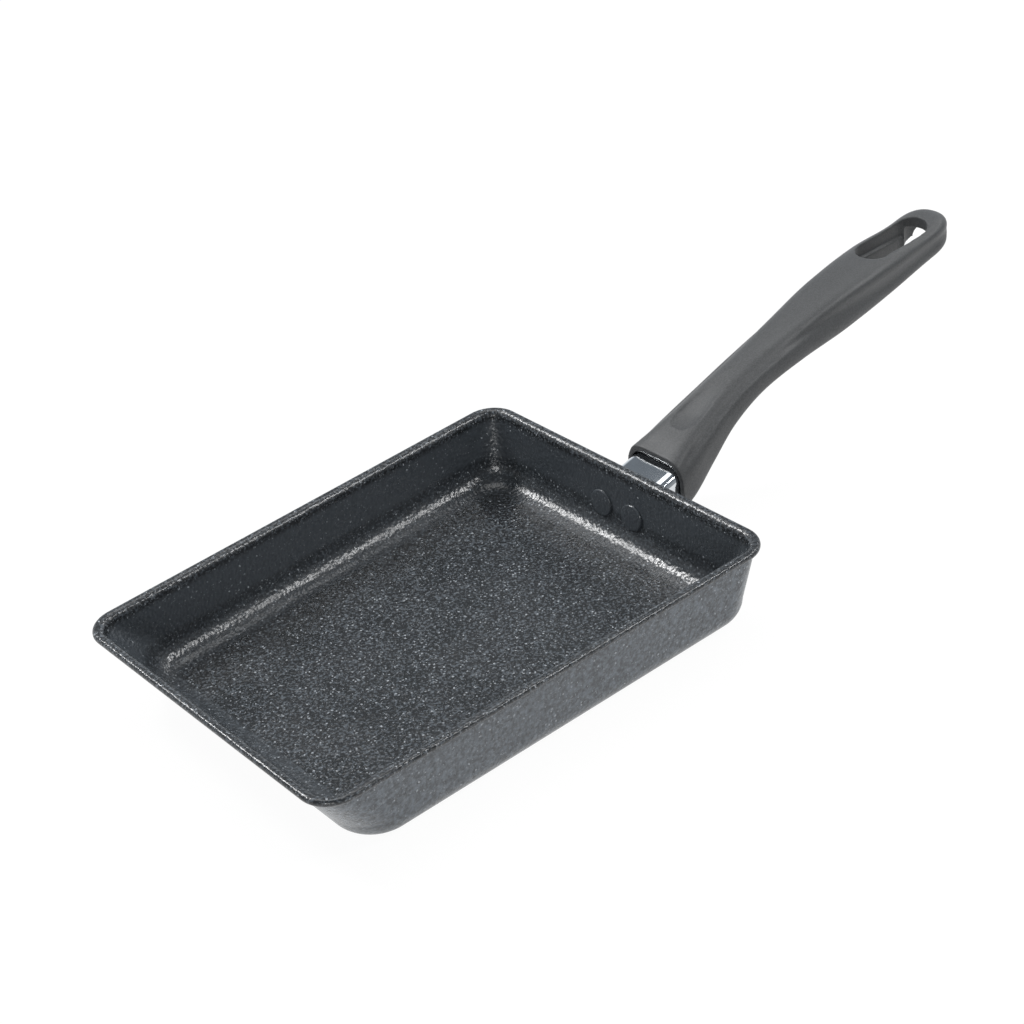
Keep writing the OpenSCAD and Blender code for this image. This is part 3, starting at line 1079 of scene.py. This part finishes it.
@dataclass
class Rivets:
    """Two flat-headed rivets, coated inside the pan and bare outside."""

    place: WallFrame
    spacing: float = 15.0
    shank: float = 4.5
    head: float = 10.0
    head_height: float = 0.8
    head_soft: float = 0.6
    tail_rim: float = 0.7
    tail_height: float = 1.4
    tail_soft: float = 0.5
    gap: float = 0.02
    sides: int = 72

    def profile(self) -> list[Point]:
        """Draw one rivet from its inner head to its closed tail.

        Returns:
            Radius and height of each point.
        """
        wall, plate = self.place.shell.wall, self.place.plate
        top, end = -wall - self.head_height, plate + self.tail_height
        radius, shank, tail = self.head / 2, self.shank / 2, self.shank / 2 + self.tail_rim
        head = arc((radius - self.head_soft, top + self.head_soft), self.head_soft,
                   start=-90, sweep=90, steps=8)
        body = [(radius, -wall - self.gap), (shank, -wall - self.gap), (shank, plate), (tail, plate)]
        closed = arc((tail - self.tail_soft, end - self.tail_soft), self.tail_soft,
                     start=0, sweep=90, steps=5)
        return [(AXIS, top)] + head + body + closed + [(AXIS, end)]

    def build(self) -> bpy.types.Object:
        """Turn one rivet and set the pair into the wall.

        Returns:
            The pair, as one object.
        """
        body = lathe(self.profile(), self.sides)
        layer = body.faces.layers.bool.new("bare_metal")
        for face in body.faces:
            face[layer] = face.calc_center_median().z > -self.place.shell.wall * MM
        single = from_bmesh("rivet", body)
        across = Vector((0, self.spacing, 0)) * MM
        return RowTree().run(
            single, "rivet_pair", Count=2, Start=self.place.wall.translation - across / 2, Step=across,
            Turn=self.place.wall.to_euler(), Skin=HEAD_COAT.material(), Bare=RIVET_METAL.material())

    def dress(self, piece: bpy.types.Object) -> None:
        """Hand the pair over; the tree has already set both of its finishes."""
        hand_over(piece, HEAD_COAT, "rivets")


@dataclass
class Bracket:
    """The steel stay: a riveted plate and the tongue that runs into the grip."""

    place: WallFrame
    width: float = 32.0
    height: float = 17.0
    corner: float = 4.0
    soft: float = 0.3
    soft_middle: float = 0.09
    tongue_width: float = 13.0
    tongue_length: float = 25.0
    tongue_corner: float = 0.5
    bend_before: float = 1.2
    bend_after: Point = (0.5, 0.15)
    bend_shares: Point = (0.2, 0.8)
    hole: float = 5.5
    drill_reach: float = 4.0

    def plate(self) -> bpy.types.Object:
        """Make the plate with softened edges.

        Returns:
            The plate.
        """
        thick, soft, middle = self.place.plate, self.soft, self.soft_middle
        levels = ((soft, 0.0), (middle, middle), (0.0, soft))
        levels += tuple((inset, thick - level) for inset, level in reversed(levels))
        rings = [raised(rounded_box(self.height - 2 * inset, self.width - 2 * inset, self.corner - inset),
                        level) for inset, level in levels]
        made = skin("bracket_plate", rings)
        made.data.transform(self.place.wall)
        return made

    def tongue(self) -> bpy.types.Object:
        """Bend the tongue up round a short curve.

        Returns:
            The tongue.
        """
        place = self.place
        rise = math.radians(place.tongue_rise)
        start = Vector((place.face_x + place.plate / 2, 0, place.tongue_z))
        bend = Vector((place.bend_x, 0, place.tongue_z))
        after_x, after_z = self.bend_after
        line = [start, bend - Vector((self.bend_before, 0, 0)), bend + Vector((after_x, 0, after_z)),
                bend + Vector((math.cos(rise), 0, math.sin(rise))) * self.tongue_length]
        section = rounded_box(self.tongue_width, place.tongue, self.tongue_corner, steps=4)
        rings = []
        for point, share in zip(line, (0.0, *self.bend_shares, 1.0)):
            up = Vector((-math.sin(rise * share), 0, math.cos(rise * share)))
            rings.append([point + Vector((0, y, 0)) + up * z for y, z in section])
        return skin("bracket_tongue", rings)

    def build(self) -> bpy.types.Object:
        """Join plate and tongue into one piece and drill the screw's hole.

        Returns:
            The stay.
        """
        plate, tongue = self.plate(), self.tongue()
        hole = [(self.hole / 2, z) for z in (-self.drill_reach, self.drill_reach)]
        drill = from_bmesh("bracket_drill", lathe(hole, steps=40))
        drill.data.transform(self.place.screw)
        combine(plate, [tongue], "UNION")
        combine(plate, [drill])
        made = baked(plate, "bracket_stay")
        drop([tongue, drill])
        sharpen(made, degrees=35)
        return made

    def dress(self, piece: bpy.types.Object) -> None:
        """Give the stay its brushed steel."""
        hand_over(piece, STEEL, "handle_bracket")


@dataclass
class Sleeve:
    """The chromed sheet sleeve between pan and grip, cut to the leaning plate."""

    place: WallFrame
    width: float = 23.4
    height: float = 11.0
    corner: float = 4.0
    sheet: float = 1.0
    length: float = 25.0
    edge: float = 0.4
    narrowed: float = 0.99
    ring_shares: tuple[float, ...] = (0.0, 0.02, 0.5, 0.98)

    def foot(self, x: float, y: float) -> float:
        """Where a line of the sleeve meets the bracket's plate.

        Args:
            x: the line's place across the neck, downwards.
            y: its place across the neck, sideways.

        Returns:
            The distance along the neck.
        """
        outward = self.place.wall.to_3x3() @ Vector((0, 0, 1))
        on_plate = self.place.wall @ Vector((0, 0, self.place.plate * MM))
        start = self.place.neck @ Vector((x * MM, y * MM, 0))
        along = self.place.neck.to_3x3() @ Vector((0, 0, 1))
        return (on_plate - start).dot(outward) / along.dot(outward) / MM

    def build(self) -> bpy.types.Object:
        """Sweep the outer and inner section along the neck and join them at both ends.

        Returns:
            The sleeve.
        """
        outer = rounded_box(self.height, self.width, self.corner)
        sheet = self.sheet
        inner = rounded_box(self.height - 2 * sheet, self.width - 2 * sheet, self.corner - sheet)
        rings = [[Vector((x, y, self.foot(x, y) * (1 - share) + self.length * share)) for x, y in outer]
                 for share in self.ring_shares]
        rings.append(raised([(x * self.narrowed, y * self.narrowed) for x, y in outer], self.length))
        rings += [raised(inner, z) for z in (self.length, self.length - self.edge)]
        rings += [[Vector((x, y, self.foot(x, y) + lift)) for x, y in inner] for lift in (self.edge, 0.0)]
        made = skin("neck_ferrule", rings, closed=True)
        made.data.transform(self.place.neck)
        sharpen(made, degrees=50)
        return made

    def dress(self, piece: bpy.types.Object) -> None:
        """Chrome the sleeve."""
        hand_over(piece, CHROME, "neck_sleeve")


@dataclass
class Grip:
    """The moulded grip: a fluted loft with an open socket, a thumb dent and a pocketed hang slot."""

    place: WallFrame
    front_x: float = 104.0
    length: float = 154.0
    front_width: float = 28.0
    waist: float = 20.0
    palm: float = 23.6
    boxy_front: float = 4.6
    boxy_palm: float = 2.8
    palm_share: float = 0.625
    tip_share: float = 0.085
    closure: float = 2.4
    tip_width: float = 0.06
    tip_height: float = 0.30
    flute_depth: float = 2.0
    flute_width: float = 3.8
    flute_start: float = 0.5
    flute_growth: float = 0.08
    mouth_wall: float = 1.9
    mouth_depth: float = 0.9
    mouth_reach: float = 2.0
    dent_share: float = 0.125
    dent_fade: float = 0.34
    dent_radius: float = 18.0
    dent_nose: float = 22.0
    dent_depth: float = 1.2
    dent_lift: float = 0.6
    dent_step: float = 0.45
    room_corner: float = 0.4
    sleeve_room: tuple[float, float, float] = (11.4, 23.8, 4.0)
    sleeve_depth: float = 25.2
    tongue_room: tuple[float, float, float] = (25.4, 13.4, 2.8)
    nut_room: tuple[float, float, float] = (18.0, 9.6, 5.0)
    nut_back: float = 4.2
    bore: float = 5.5
    bore_depth: float = 10.0
    seat: float = 10.4
    seat_top: float = 3.2
    seat_depth: float = 20.0
    slot_margin: float = 10.0
    slot_length: float = 34.0
    slot_width: float = 13.0
    slot_floor: float = 54.8
    slot_ledge: float = 1.2
    hollow_radius: float = 7.0
    hollow_top: float = 58.2
    hollow_ahead: float = 1.8
    scoop_radius: float = 7.4
    scoop_ahead: float = 1.2
    scoop_z: float = 49.8
    reach_up: float = 30.0
    reach_down: float = 50.0
    stations: int = 300
    tip_stations: float = 0.25
    tip_stretch: float = 1.6
    section_points: int = 160
    voxel: float = 0.42
    quick_factor: float = 2.0
    smoothing: int = 3

    def rows(self) -> list[tuple[float, float, float, float, float]]:
        """Give the profile at ten stations.

        Returns:
            For each: share of the length, crown, underside, half width and height of the flute.
        """
        front, waist, palm = self.front_width / 2, self.waist / 2, self.palm / 2
        return [(0.00, 27.2, 6.2, front, 0.72), (0.05, 30.9, 9.3, front - 0.6, 0.80),
                (0.12, 35.4, 17.0, waist + 1.8, 0.86), (0.20, 40.2, 26.1, waist + 0.4, 0.84),
                (0.30, 45.0, 33.1, waist, 0.82), (0.43, 50.5, 37.1, waist + 0.8, 0.66),
                (0.59, 56.6, 39.5, palm, 0.30), (0.75, 60.6, 43.5, palm, -0.04),
                (0.88, 61.5, 47.8, palm - 0.5, 0.05), (1.00, 64.75, 51.3, palm - 0.6, 0.08)]

    def along(self, t: float, column: int) -> float:
        """Read a column of the profile on a smooth curve.

        Args:
            t: share of the length.
            column: 1 for the crown, 2 for the underside, 3 for the half width, 4 for the flute.

        Returns:
            The value there.
        """
        rows = self.rows()
        last = len(rows) - 1
        k = next((k for k in range(last) if t <= rows[k + 1][0]), last - 1)

        def slope(j: int) -> float:
            """Slope of the column at row j, from its neighbours."""
            low, high = rows[max(j - 1, 0)], rows[min(j + 1, last)]
            return (high[column] - low[column]) / (high[0] - low[0])

        span = rows[k + 1][0] - rows[k][0]
        u = (t - rows[k][0]) / span
        return ((2 * u ** 3 - 3 * u ** 2 + 1) * rows[k][column] + (u ** 3 - 2 * u ** 2 + u) * span * slope(k)
                + (3 * u ** 2 - 2 * u ** 3) * rows[k + 1][column] + (u ** 3 - u ** 2) * span * slope(k + 1))

    def dent_floor(self, x: float, y: float) -> float:
        """Lowest point of the long round-nosed tool that leaves the thumb dent.

        Args:
            x: place along the pan.
            y: place across the grip.

        Returns:
            Height of the tool's underside there, or a height above the grip where it doesn't reach.
        """
        start_x = self.front_x + self.dent_share * self.length
        ahead = (x - start_x) / ((self.dent_fade - self.dent_share) * self.length)
        behind = min(0.0, x - start_x) / self.dent_nose
        reach = self.dent_radius ** 2 * (1 - behind ** 2) - y ** 2
        if reach <= 0 or ahead > 1:
            return OUT_OF_REACH
        sunk = self.dent_depth - (self.dent_depth + self.dent_lift) * max(0.0, ahead)
        crown = self.along(max(0.0, (x - self.front_x) / self.length), 1)
        return crown + self.dent_radius - sunk - math.sqrt(reach)

    def section(self, t: float) -> list[Vector]:
        """Draw the section of the grip: a crowned top over fluted sides.

        Args:
            t: share of the length.

        Returns:
            The outline, with the thumb dent pressed in.
        """
        to_end = min(1.0, (1 - t) / self.tip_share)
        close = (1 - (1 - to_end) ** self.closure) ** (1 / self.closure)
        half = self.along(t, 3) * (self.tip_width + (1 - self.tip_width) * close)
        top, low = self.along(t, 1), self.along(t, 2)
        middle = (top + low) / 2
        half_height = (top - low) / 2 * (self.tip_height + (1 - self.tip_height) * close)
        boxy = self.boxy_front - (self.boxy_front - self.boxy_palm) * min(1.0, t / self.palm_share)
        flute_z = self.along(t, 4)
        flute_y = (1 - abs(flute_z) ** boxy) ** (1 / boxy)
        depth = self.flute_depth * close * min(1.0, self.flute_start + t / self.flute_growth)
        x = self.front_x + self.length * t
        leaves = self.dent_depth / (self.dent_depth + self.dent_lift) * (self.dent_fade - self.dent_share)
        fade = 1 - min(1.0, max(0.0, (t - self.dent_share) / leaves))
        points = []
        for k in range(self.section_points):
            a = math.tau * (k + 0.5) / self.section_points
            side = math.copysign(1.0, math.cos(a))
            y = side * abs(math.cos(a)) ** (2 / boxy)
            z = math.copysign(abs(math.sin(a)) ** (2 / boxy), math.sin(a))
            outward = Vector((side * abs(y) ** (boxy - 1) / half,
                              math.copysign(abs(z) ** (boxy - 1), z) / half_height))
            away = Vector((half * (y - side * flute_y), half_height * (z - flute_z))).length
            pull = depth * math.exp(-(away / self.flute_width) ** 2) / outward.length
            across = half * y - pull * outward.x
            height = middle + half_height * z - pull * outward.y
            sunken = self.dent_floor(x, across) if z > 0 else height
            height = sunken - self.dent_step * fade if sunken < height else height
            points.append(Vector((x, across, height)))
        return points

    def share_at(self, station: int) -> float:
        """Place a station along the grip; the stations crowd together at the tip.

        Args:
            station: its number, from 0 at the mouth.

        Returns:
            Its share of the length.
        """
        s = station / self.stations
        closing = self.tip_share * self.tip_stretch
        even = 1 - self.tip_stations
        if s < even:
            return s / even * (1 - closing)
        return 1 - closing * (1 - math.sin(math.pi / 2 * (s - even) / self.tip_stations))

    def prism(self, name: str, outline: Sequence[Point], low: float, high: float,
              frame_at: Matrix) -> bpy.types.Object:
        """Make a straight cutting tool.

        Args:
            name: the tool's name.
            outline: its section, in millimetres.
            low: where it starts along its own Z.
            high: where it ends.
            frame_at: the frame that it stands in.

        Returns:
            The tool.
        """
        made = skin(name, [raised(outline, z) for z in (low, high)])
        made.data.transform(frame_at)
        return made

    def drill(self, name: str, diameter: float, low: float, high: float, frame_at: Matrix,
              steps: int = 24) -> bpy.types.Object:
        """Make a round cutting tool about the frame's own Z."""
        outline = [(x - diameter / 2, y) for x, y in stadium(diameter, diameter, steps)]
        return self.prism(name, outline, low, high, frame_at)

    def mouth_tool(self) -> bpy.types.Object:
        """Make the tool for the shallow step inside the front edge, which leaves a ring round the sleeve.

        Returns:
            The tool.
        """
        outline = self.section(0.0)
        top, low = self.along(0.0, 1), self.along(0.0, 2)
        middle = (top + low) / 2
        across = 1 - 2 * self.mouth_wall / self.front_width
        upright = 1 - 2 * self.mouth_wall / (top - low)
        ring = [Vector((0, point.y * across, middle + (point.z - middle) * upright)) for point in outline]
        ends = (self.front_x - self.mouth_reach, self.front_x + self.mouth_depth)
        return skin("mouth_tool", [[Vector((x, point.y, point.z)) for point in ring] for x in ends])

    def socket_tools(self) -> list[bpy.types.Object]:
        """Make the tools for the mouth, the rooms of sleeve, tongue and nut, the bore and its seat.

        Returns:
            The six tools.
        """
        place, screw = self.place, self.place.screw
        tongue_length, tongue_width, tongue_height = self.tongue_room
        nut_length, nut_width, nut_top = self.nut_room
        tongue = rounded_box(tongue_length, tongue_width, self.room_corner, steps=2)
        nut = rounded_box(nut_length, nut_width, self.room_corner, steps=2)
        return [
            self.mouth_tool(),
            self.prism("sleeve_tool", rounded_box(*self.sleeve_room), 0.0, self.sleeve_depth, place.neck),
            self.prism("tongue_tool", tongue, -tongue_height / 2, tongue_height / 2, screw),
            self.prism("nut_tool", nut, place.tongue / 2, nut_top, screw @ spot(-self.nut_back, 0)),
            self.drill("bore_tool", self.bore, -self.bore_depth, 0.0, screw),
            self.drill("seat_tool", self.seat, -self.seat_top - self.seat_depth, -self.seat_top, screw),
        ]

    def slot_tools(self) -> list[bpy.types.Object]:
        """Make the tools for the pocket, the slot through its floor, the hollow and the scoop below.

        Returns:
            The four tools.
        """
        tip_x = self.front_x + self.length
        end_x = tip_x - self.slot_margin
        length, width = self.slot_length - 2 * self.slot_ledge, self.slot_width - 2 * self.slot_ledge
        pocket_at = spot(end_x - self.slot_length, self.slot_floor)
        through_at = spot(end_x - self.slot_ledge - length, self.slot_floor)
        hollow_at = spot(end_x + self.hollow_ahead, self.hollow_top)
        scoop_at = spot(tip_x + self.scoop_ahead, self.scoop_z, Matrix.Rotation(math.radians(90), 4, "X"))
        up, down = self.reach_up, self.reach_down
        pocket = stadium(self.slot_length, self.slot_width, steps=40)
        through = stadium(length, width, steps=40)
        return [
            self.prism("pocket_tool", pocket, 0.0, up, pocket_at),
            self.prism("through_tool", through, -down, up, through_at),
            self.drill("hollow_tool", 2 * self.hollow_radius, -down, 0.0, hollow_at, steps=48),
            self.drill("scoop_tool", 2 * self.scoop_radius, -up, up, scoop_at, steps=48),
        ]

    def build(self) -> bpy.types.Object:
        """Loft the grip, cut it, and let a fine remesh soften every moulded edge.

        Returns:
            The grip.
        """
        blank = skin("grip_blank", [self.section(self.share_at(k)) for k in range(self.stations + 1)])
        tools = self.socket_tools() + self.slot_tools()
        combine(blank, tools)
        remesh = blank.modifiers.new("moulded skin", "REMESH")
        remesh.mode = "VOXEL"
        remesh.voxel_size = 1.0 * self.voxel * MM
        remesh.use_smooth_shade = True
        smooth = blank.modifiers.new("soft edges", "SMOOTH")
        smooth.factor, smooth.iterations = 0.5, self.smoothing
        made = baked(blank, "moulded_grip")
        drop(tools)
        return made

    def dress(self, piece: bpy.types.Object) -> None:
        """Give the grip its matte phenolic."""
        piece.data.materials.clear()
        hand_over(piece, GRIP_PLASTIC, "handle")


@dataclass
class ScrewStack:
    """What holds the grip: a cross-head screw, its spring washer and the nut on the tongue."""

    place: WallFrame
    size: float = 5.0
    thread_depth: float = 0.45
    thread_pitch: float = 0.8
    thread_section: Point = (0.42, 0.86)
    thread_start: float = 1.2
    thread_end: float = 0.6
    head: float = 9.0
    head_height: float = 2.4
    head_rim: float = 0.7
    head_edge: float = 0.15
    cross_width: float = 1.1
    cross_corner: float = 0.2
    cross_length: float = 5.0
    cross_foot: float = 2.0
    cross_depth: float = 1.5
    cross_reach: float = 1.0
    cross_mouth: float = 0.1
    tip_over: float = 0.25
    tip_edge: Point = (0.4, 0.5)
    washer: float = 1.0
    washer_gap: Point = (0.2, 0.25)
    washer_wire: float = 0.8
    washer_turns: float = 0.955
    washer_climb: float = 0.16
    washer_lift: float = 0.42
    seat: float = 2.0
    nut_flats: float = 8.0
    nut_height: float = 3.4
    nut_edge: float = 0.28
    nut_narrowed: float = 0.93
    nut_reach: Point = (-1.0, 9.0)

    @property
    def seat_z(self) -> float:
        """Height of the washer's underside over the tongue's middle."""
        return -self.place.tongue / 2 - self.seat - self.washer

    def screw(self, coil: CoilTree) -> bpy.types.Object:
        """Turn the screw, cut its cross and wind its thread.

        Args:
            coil: the tree that winds the thread.

        Returns:
            The screw.
        """
        top, low = self.seat_z, self.seat_z - self.head_height
        radius, core = self.head / 2, self.size / 2 - self.thread_depth
        tip = self.nut_height + self.place.tongue / 2 + self.tip_over
        crown = [(radius * x, top - self.head_rim - (self.head_height - self.head_rim) * y)
                 for y, x in arc((0, 0), 1.0, start=18, sweep=72, steps=8)]
        profile = [(AXIS, low)] + crown + [
            (radius, top - self.head_edge), (radius - self.head_edge, top), (core, top),
            (core, tip - self.tip_edge[1]), (core - self.tip_edge[0], tip), (AXIS, tip)]
        body = from_bmesh("screw_blank", lathe(profile, steps=56))
        slot_levels = ((self.cross_length, low - self.cross_reach),
                       (self.cross_length, low + self.cross_mouth),
                       (self.cross_foot, low + self.cross_depth))
        tools = []
        for turn in (0, 90):
            rings = [raised(rounded_box(length, self.cross_width, self.cross_corner, steps=3), z)
                     for length, z in slot_levels]
            cross = skin(f"cross_tool_{turn}", rings)
            cross.data.transform(Matrix.Rotation(math.radians(turn), 4, "Z"))
            tools.append(cross)
        combine(body, tools)
        cut = baked(body, "screw_cut")
        drop(tools)
        base = top + self.thread_start
        run = tip - self.thread_end - base
        width, depth = self.thread_section
        made = coil.run(cut, "grip_screw", Turns=run / self.thread_pitch, Radius=core * MM, Climb=run * MM,
                        Width=width * MM, Depth=depth * MM, Base=base * MM, Skin=ZINC.material())
        made.data.transform(self.place.screw)
        sharpen(made, degrees=40)
        return made

    def spring_washer(self, coil: CoilTree) -> bpy.types.Object:
        """Wind the split washer, not quite one turn of square wire.

        Args:
            coil: the tree that winds it.

        Returns:
            The washer.
        """
        inner, outer = self.size / 2 + self.washer_gap[0], self.head / 2 - self.washer_gap[1]
        empty = from_bmesh("washer_blank", bmesh.new())
        made = coil.run(empty, "washer_coil", Turns=self.washer_turns, Radius=(inner + outer) / 2 * MM,
                        Climb=self.washer_climb * MM, Width=self.washer_wire * MM,
                        Depth=(outer - inner) * MM, Base=(self.seat_z + self.washer_lift) * MM,
                        Skin=ZINC.material())
        made.data.transform(self.place.screw)
        return made

    def nut(self) -> bpy.types.Object:
        """Make the hexagon nut with chamfered corners and a bore.

        Returns:
            The nut.
        """
        across, base = self.nut_flats / math.sqrt(3), self.place.tongue / 2
        levels = ((0.0, self.nut_narrowed), (self.nut_edge, 1.0),
                  (self.nut_height - self.nut_edge, 1.0), (self.nut_height, self.nut_narrowed))
        rings = [raised(arc((0, 0), across * scale, start=0, sweep=300, steps=5), base + z)
                 for z, scale in levels]
        blank = skin("nut_blank", rings)
        drill = from_bmesh("nut_drill", lathe([(self.size / 2, z) for z in self.nut_reach], steps=40))
        combine(blank, [drill])
        made = baked(blank, "tongue_nut")
        drop([drill])
        made.data.transform(self.place.screw)
        sharpen(made, degrees=25)
        return made

    def build(self) -> dict[str, bpy.types.Object]:
        """Make the three pieces, each under the name of the node that it stands for.

        Returns:
            Screw, washer and nut by node.
        """
        coil = CoilTree()
        return {"handle_screw": self.screw(coil), "spring_washer": self.spring_washer(coil),
                "bracket_nut": self.nut()}

    def dress(self, pieces: dict[str, bpy.types.Object]) -> None:
        """Plate all three in zinc."""
        for node, piece in pieces.items():
            hand_over(piece, ZINC, node)


@dataclass
class Softbox:
    """One rectangular lamp, aimed at the pan from a direction. Its sizes are in metres."""

    name: str
    toward: tuple[float, float, float]
    distance: float
    size: tuple[float, float]
    power: float

    def hang(self, target: Vector) -> None:
        """Hang the lamp and turn it to the target.

        Args:
            target: the point that it lights, in metres.
        """
        lamp = bpy.data.lights.new(self.name, "AREA")
        lamp.shape = "RECTANGLE"
        lamp.size, lamp.size_y = self.size
        lamp.energy = self.power
        made = bpy.data.objects.new(self.name, lamp)
        direction = Vector(self.toward).normalized()
        made.location = target + direction * self.distance
        made.rotation_euler = (-direction).to_track_quat("-Z", "Y").to_euler()
        bpy.context.scene.collection.objects.link(made)


@dataclass
class Studio:
    """Pale floor, soft lamps, a white surround and the camera.

    Places are in metres, the camera's turn in degrees, and each range is where a mask rises from 0 to 1.
    """

    lens: float = 70.251
    eye: tuple[float, float, float] = (-0.30197, -0.43135, 0.39643)
    turn: tuple[float, float, float] = (56.577, 5.0564, -41.6222)
    target: tuple[float, float, float] = (0.06, 0.0, 0.02)
    floor_size: float = 4.0
    floor_drop: float = 0.0001
    floor_grey: float = 0.72
    floor_glow: float = 1.04
    floor_white: float = 0.92
    ambient: float = 0.62
    dim: float = 0.06
    far_lift: float = 0.35
    far_range: Point = (-0.6, 0.7)
    near_tone: float = 150.0
    far_tone: float = 245.0
    ceiling_range: Point = (0.15, 0.60)
    ceiling_tone: float = 128.0

    @property
    def axes(self) -> Matrix:
        """The camera's right, up and back, as columns."""
        return Euler([math.radians(angle) for angle in self.turn]).to_matrix()

    def lamps(self) -> list[Softbox]:
        """List the lamps: front right, right, behind the far wall, above, and a strip left of the eye.

        Returns:
            The five lamps, not hung yet.
        """
        return [
            Softbox("front_right_box", (0.47, -0.52, 0.70), 1.3, (0.46, 0.11), 4.6),
            Softbox("right_box", (0.77, 0.0, 0.63), 1.3, (0.50, 0.14), 2.2),
            Softbox("back_box", (-0.25, 0.60, 0.72), 1.3, (0.34, 0.24), 9.0),
            Softbox("overhead_box", (0.20, 0.30, 1.0), 1.5, (0.9, 0.9), 6.0),
            Softbox("left_strip", (-0.77, -0.60, 0.26), 1.3, (0.08, 0.36), 3.0),
        ]

    def camera(self) -> None:
        """Stand the camera where the photograph was taken."""
        data = bpy.data.cameras.new("camera")
        data.sensor_width, data.lens = 36.0, self.lens
        data.clip_start, data.clip_end = 0.01, 20.0
        made = bpy.data.objects.new("camera", data)
        made.matrix_world = Matrix.Translation(self.eye) @ self.axes.to_4x4()
        bpy.context.scene.collection.objects.link(made)
        bpy.context.scene.camera = made

    def seen(self, sheet: NodeSheet) -> Socket:
        """Tell whether a ray shows the surround: from the eye, off gloss or through glass.

        Args:
            sheet: the sheet that the nodes go on.

        Returns:
            A mask that is 1 for such a ray.
        """
        path = sheet.node("ShaderNodeLightPath").outputs
        mirror = sheet.calc("MAXIMUM", path["Is Glossy Ray"], path["Is Transmission Ray"])
        return sheet.calc("MAXIMUM", path["Is Camera Ray"], mirror)

    def floor(self) -> None:
        """Lay a pale floor that shows white and keeps the object's shadow."""
        body = bmesh.new()
        bmesh.ops.create_grid(body, x_segments=8, y_segments=8, size=self.floor_size)
        for vertex in body.verts:
            vertex.co.z = -self.floor_drop
        made = from_bmesh("studio_floor", body)
        paint = bpy.data.materials.new("pale floor")
        sheet = NodeSheet(cleared(paint))
        matte = sheet.fill(sheet.node("ShaderNodeBsdfDiffuse"), Color=(*[self.floor_grey] * 3, 1.0))
        glow = sheet.fill(sheet.node("ShaderNodeEmission"), Color=WHITE, Strength=self.floor_glow)
        shown = sheet.times(self.seen(sheet), self.floor_white)
        sheet.node("ShaderNodeOutputMaterial", sheet.blend(shown, matte, glow))
        made.data.materials.append(paint)

    def surround(self) -> None:
        """Give the world a soft level, dimmest behind the eye, and for gloss a wall and a greyer ceiling."""
        world = bpy.data.worlds.new("studio")
        sheet = NodeSheet(cleared(world))
        toward = sheet.node("ShaderNodeTexCoord").outputs["Generated"]
        height = sheet.node("ShaderNodeSeparateXYZ", toward).outputs["Z"]
        back = self.axes.col[2]
        away = Vector((-back.x, -back.y, self.far_lift)).normalized()
        behind = sheet.node("ShaderNodeVectorMath", toward, away, operation="DOT_PRODUCT").outputs["Value"]
        far_side = sheet.step(behind, *self.far_range)
        wall_tone = sheet.mix(far_side, tone(self.near_tone, cool=0.02), tone(self.far_tone, cool=0.02))
        ceiling = sheet.step(height, *self.ceiling_range)
        mirrored = sheet.mix(ceiling, wall_tone, tone(self.ceiling_tone, cool=0.05))
        eye = sheet.node("ShaderNodeLightPath").outputs["Is Camera Ray"]
        shown = sheet.mix(eye, mirrored, WHITE)
        wall = sheet.fill(sheet.node("ShaderNodeBackground"), Color=shown, Strength=1.0)
        level = sheet.line(far_side, self.ambient - self.dim, self.dim)
        soft = sheet.fill(sheet.node("ShaderNodeBackground"), Color=WHITE, Strength=level)
        sheet.node("ShaderNodeOutputWorld", sheet.blend(self.seen(sheet), soft, wall))
        bpy.context.scene.world = world

    def build(self) -> None:
        """Set up camera, floor, lamps and surround."""
        bpy.context.scene.view_settings.view_transform = "Standard"
        self.camera()
        self.floor()
        self.surround()
        for lamp in self.lamps():
            lamp.hang(Vector(self.target))


def main() -> None:
    """Build every sub-assembly in order, dress it and set up the studio."""
    logging.basicConfig(level=logging.INFO, format="%(name)s %(message)s")
    Studio().build()
    shell = PanShell()
    place = WallFrame(shell)
    for assembly in (shell, Rivets(place), Bracket(place), Sleeve(place), Grip(place), ScrewStack(place)):
        assembly.dress(assembly.build())


if __name__ == "__main__":
    main()
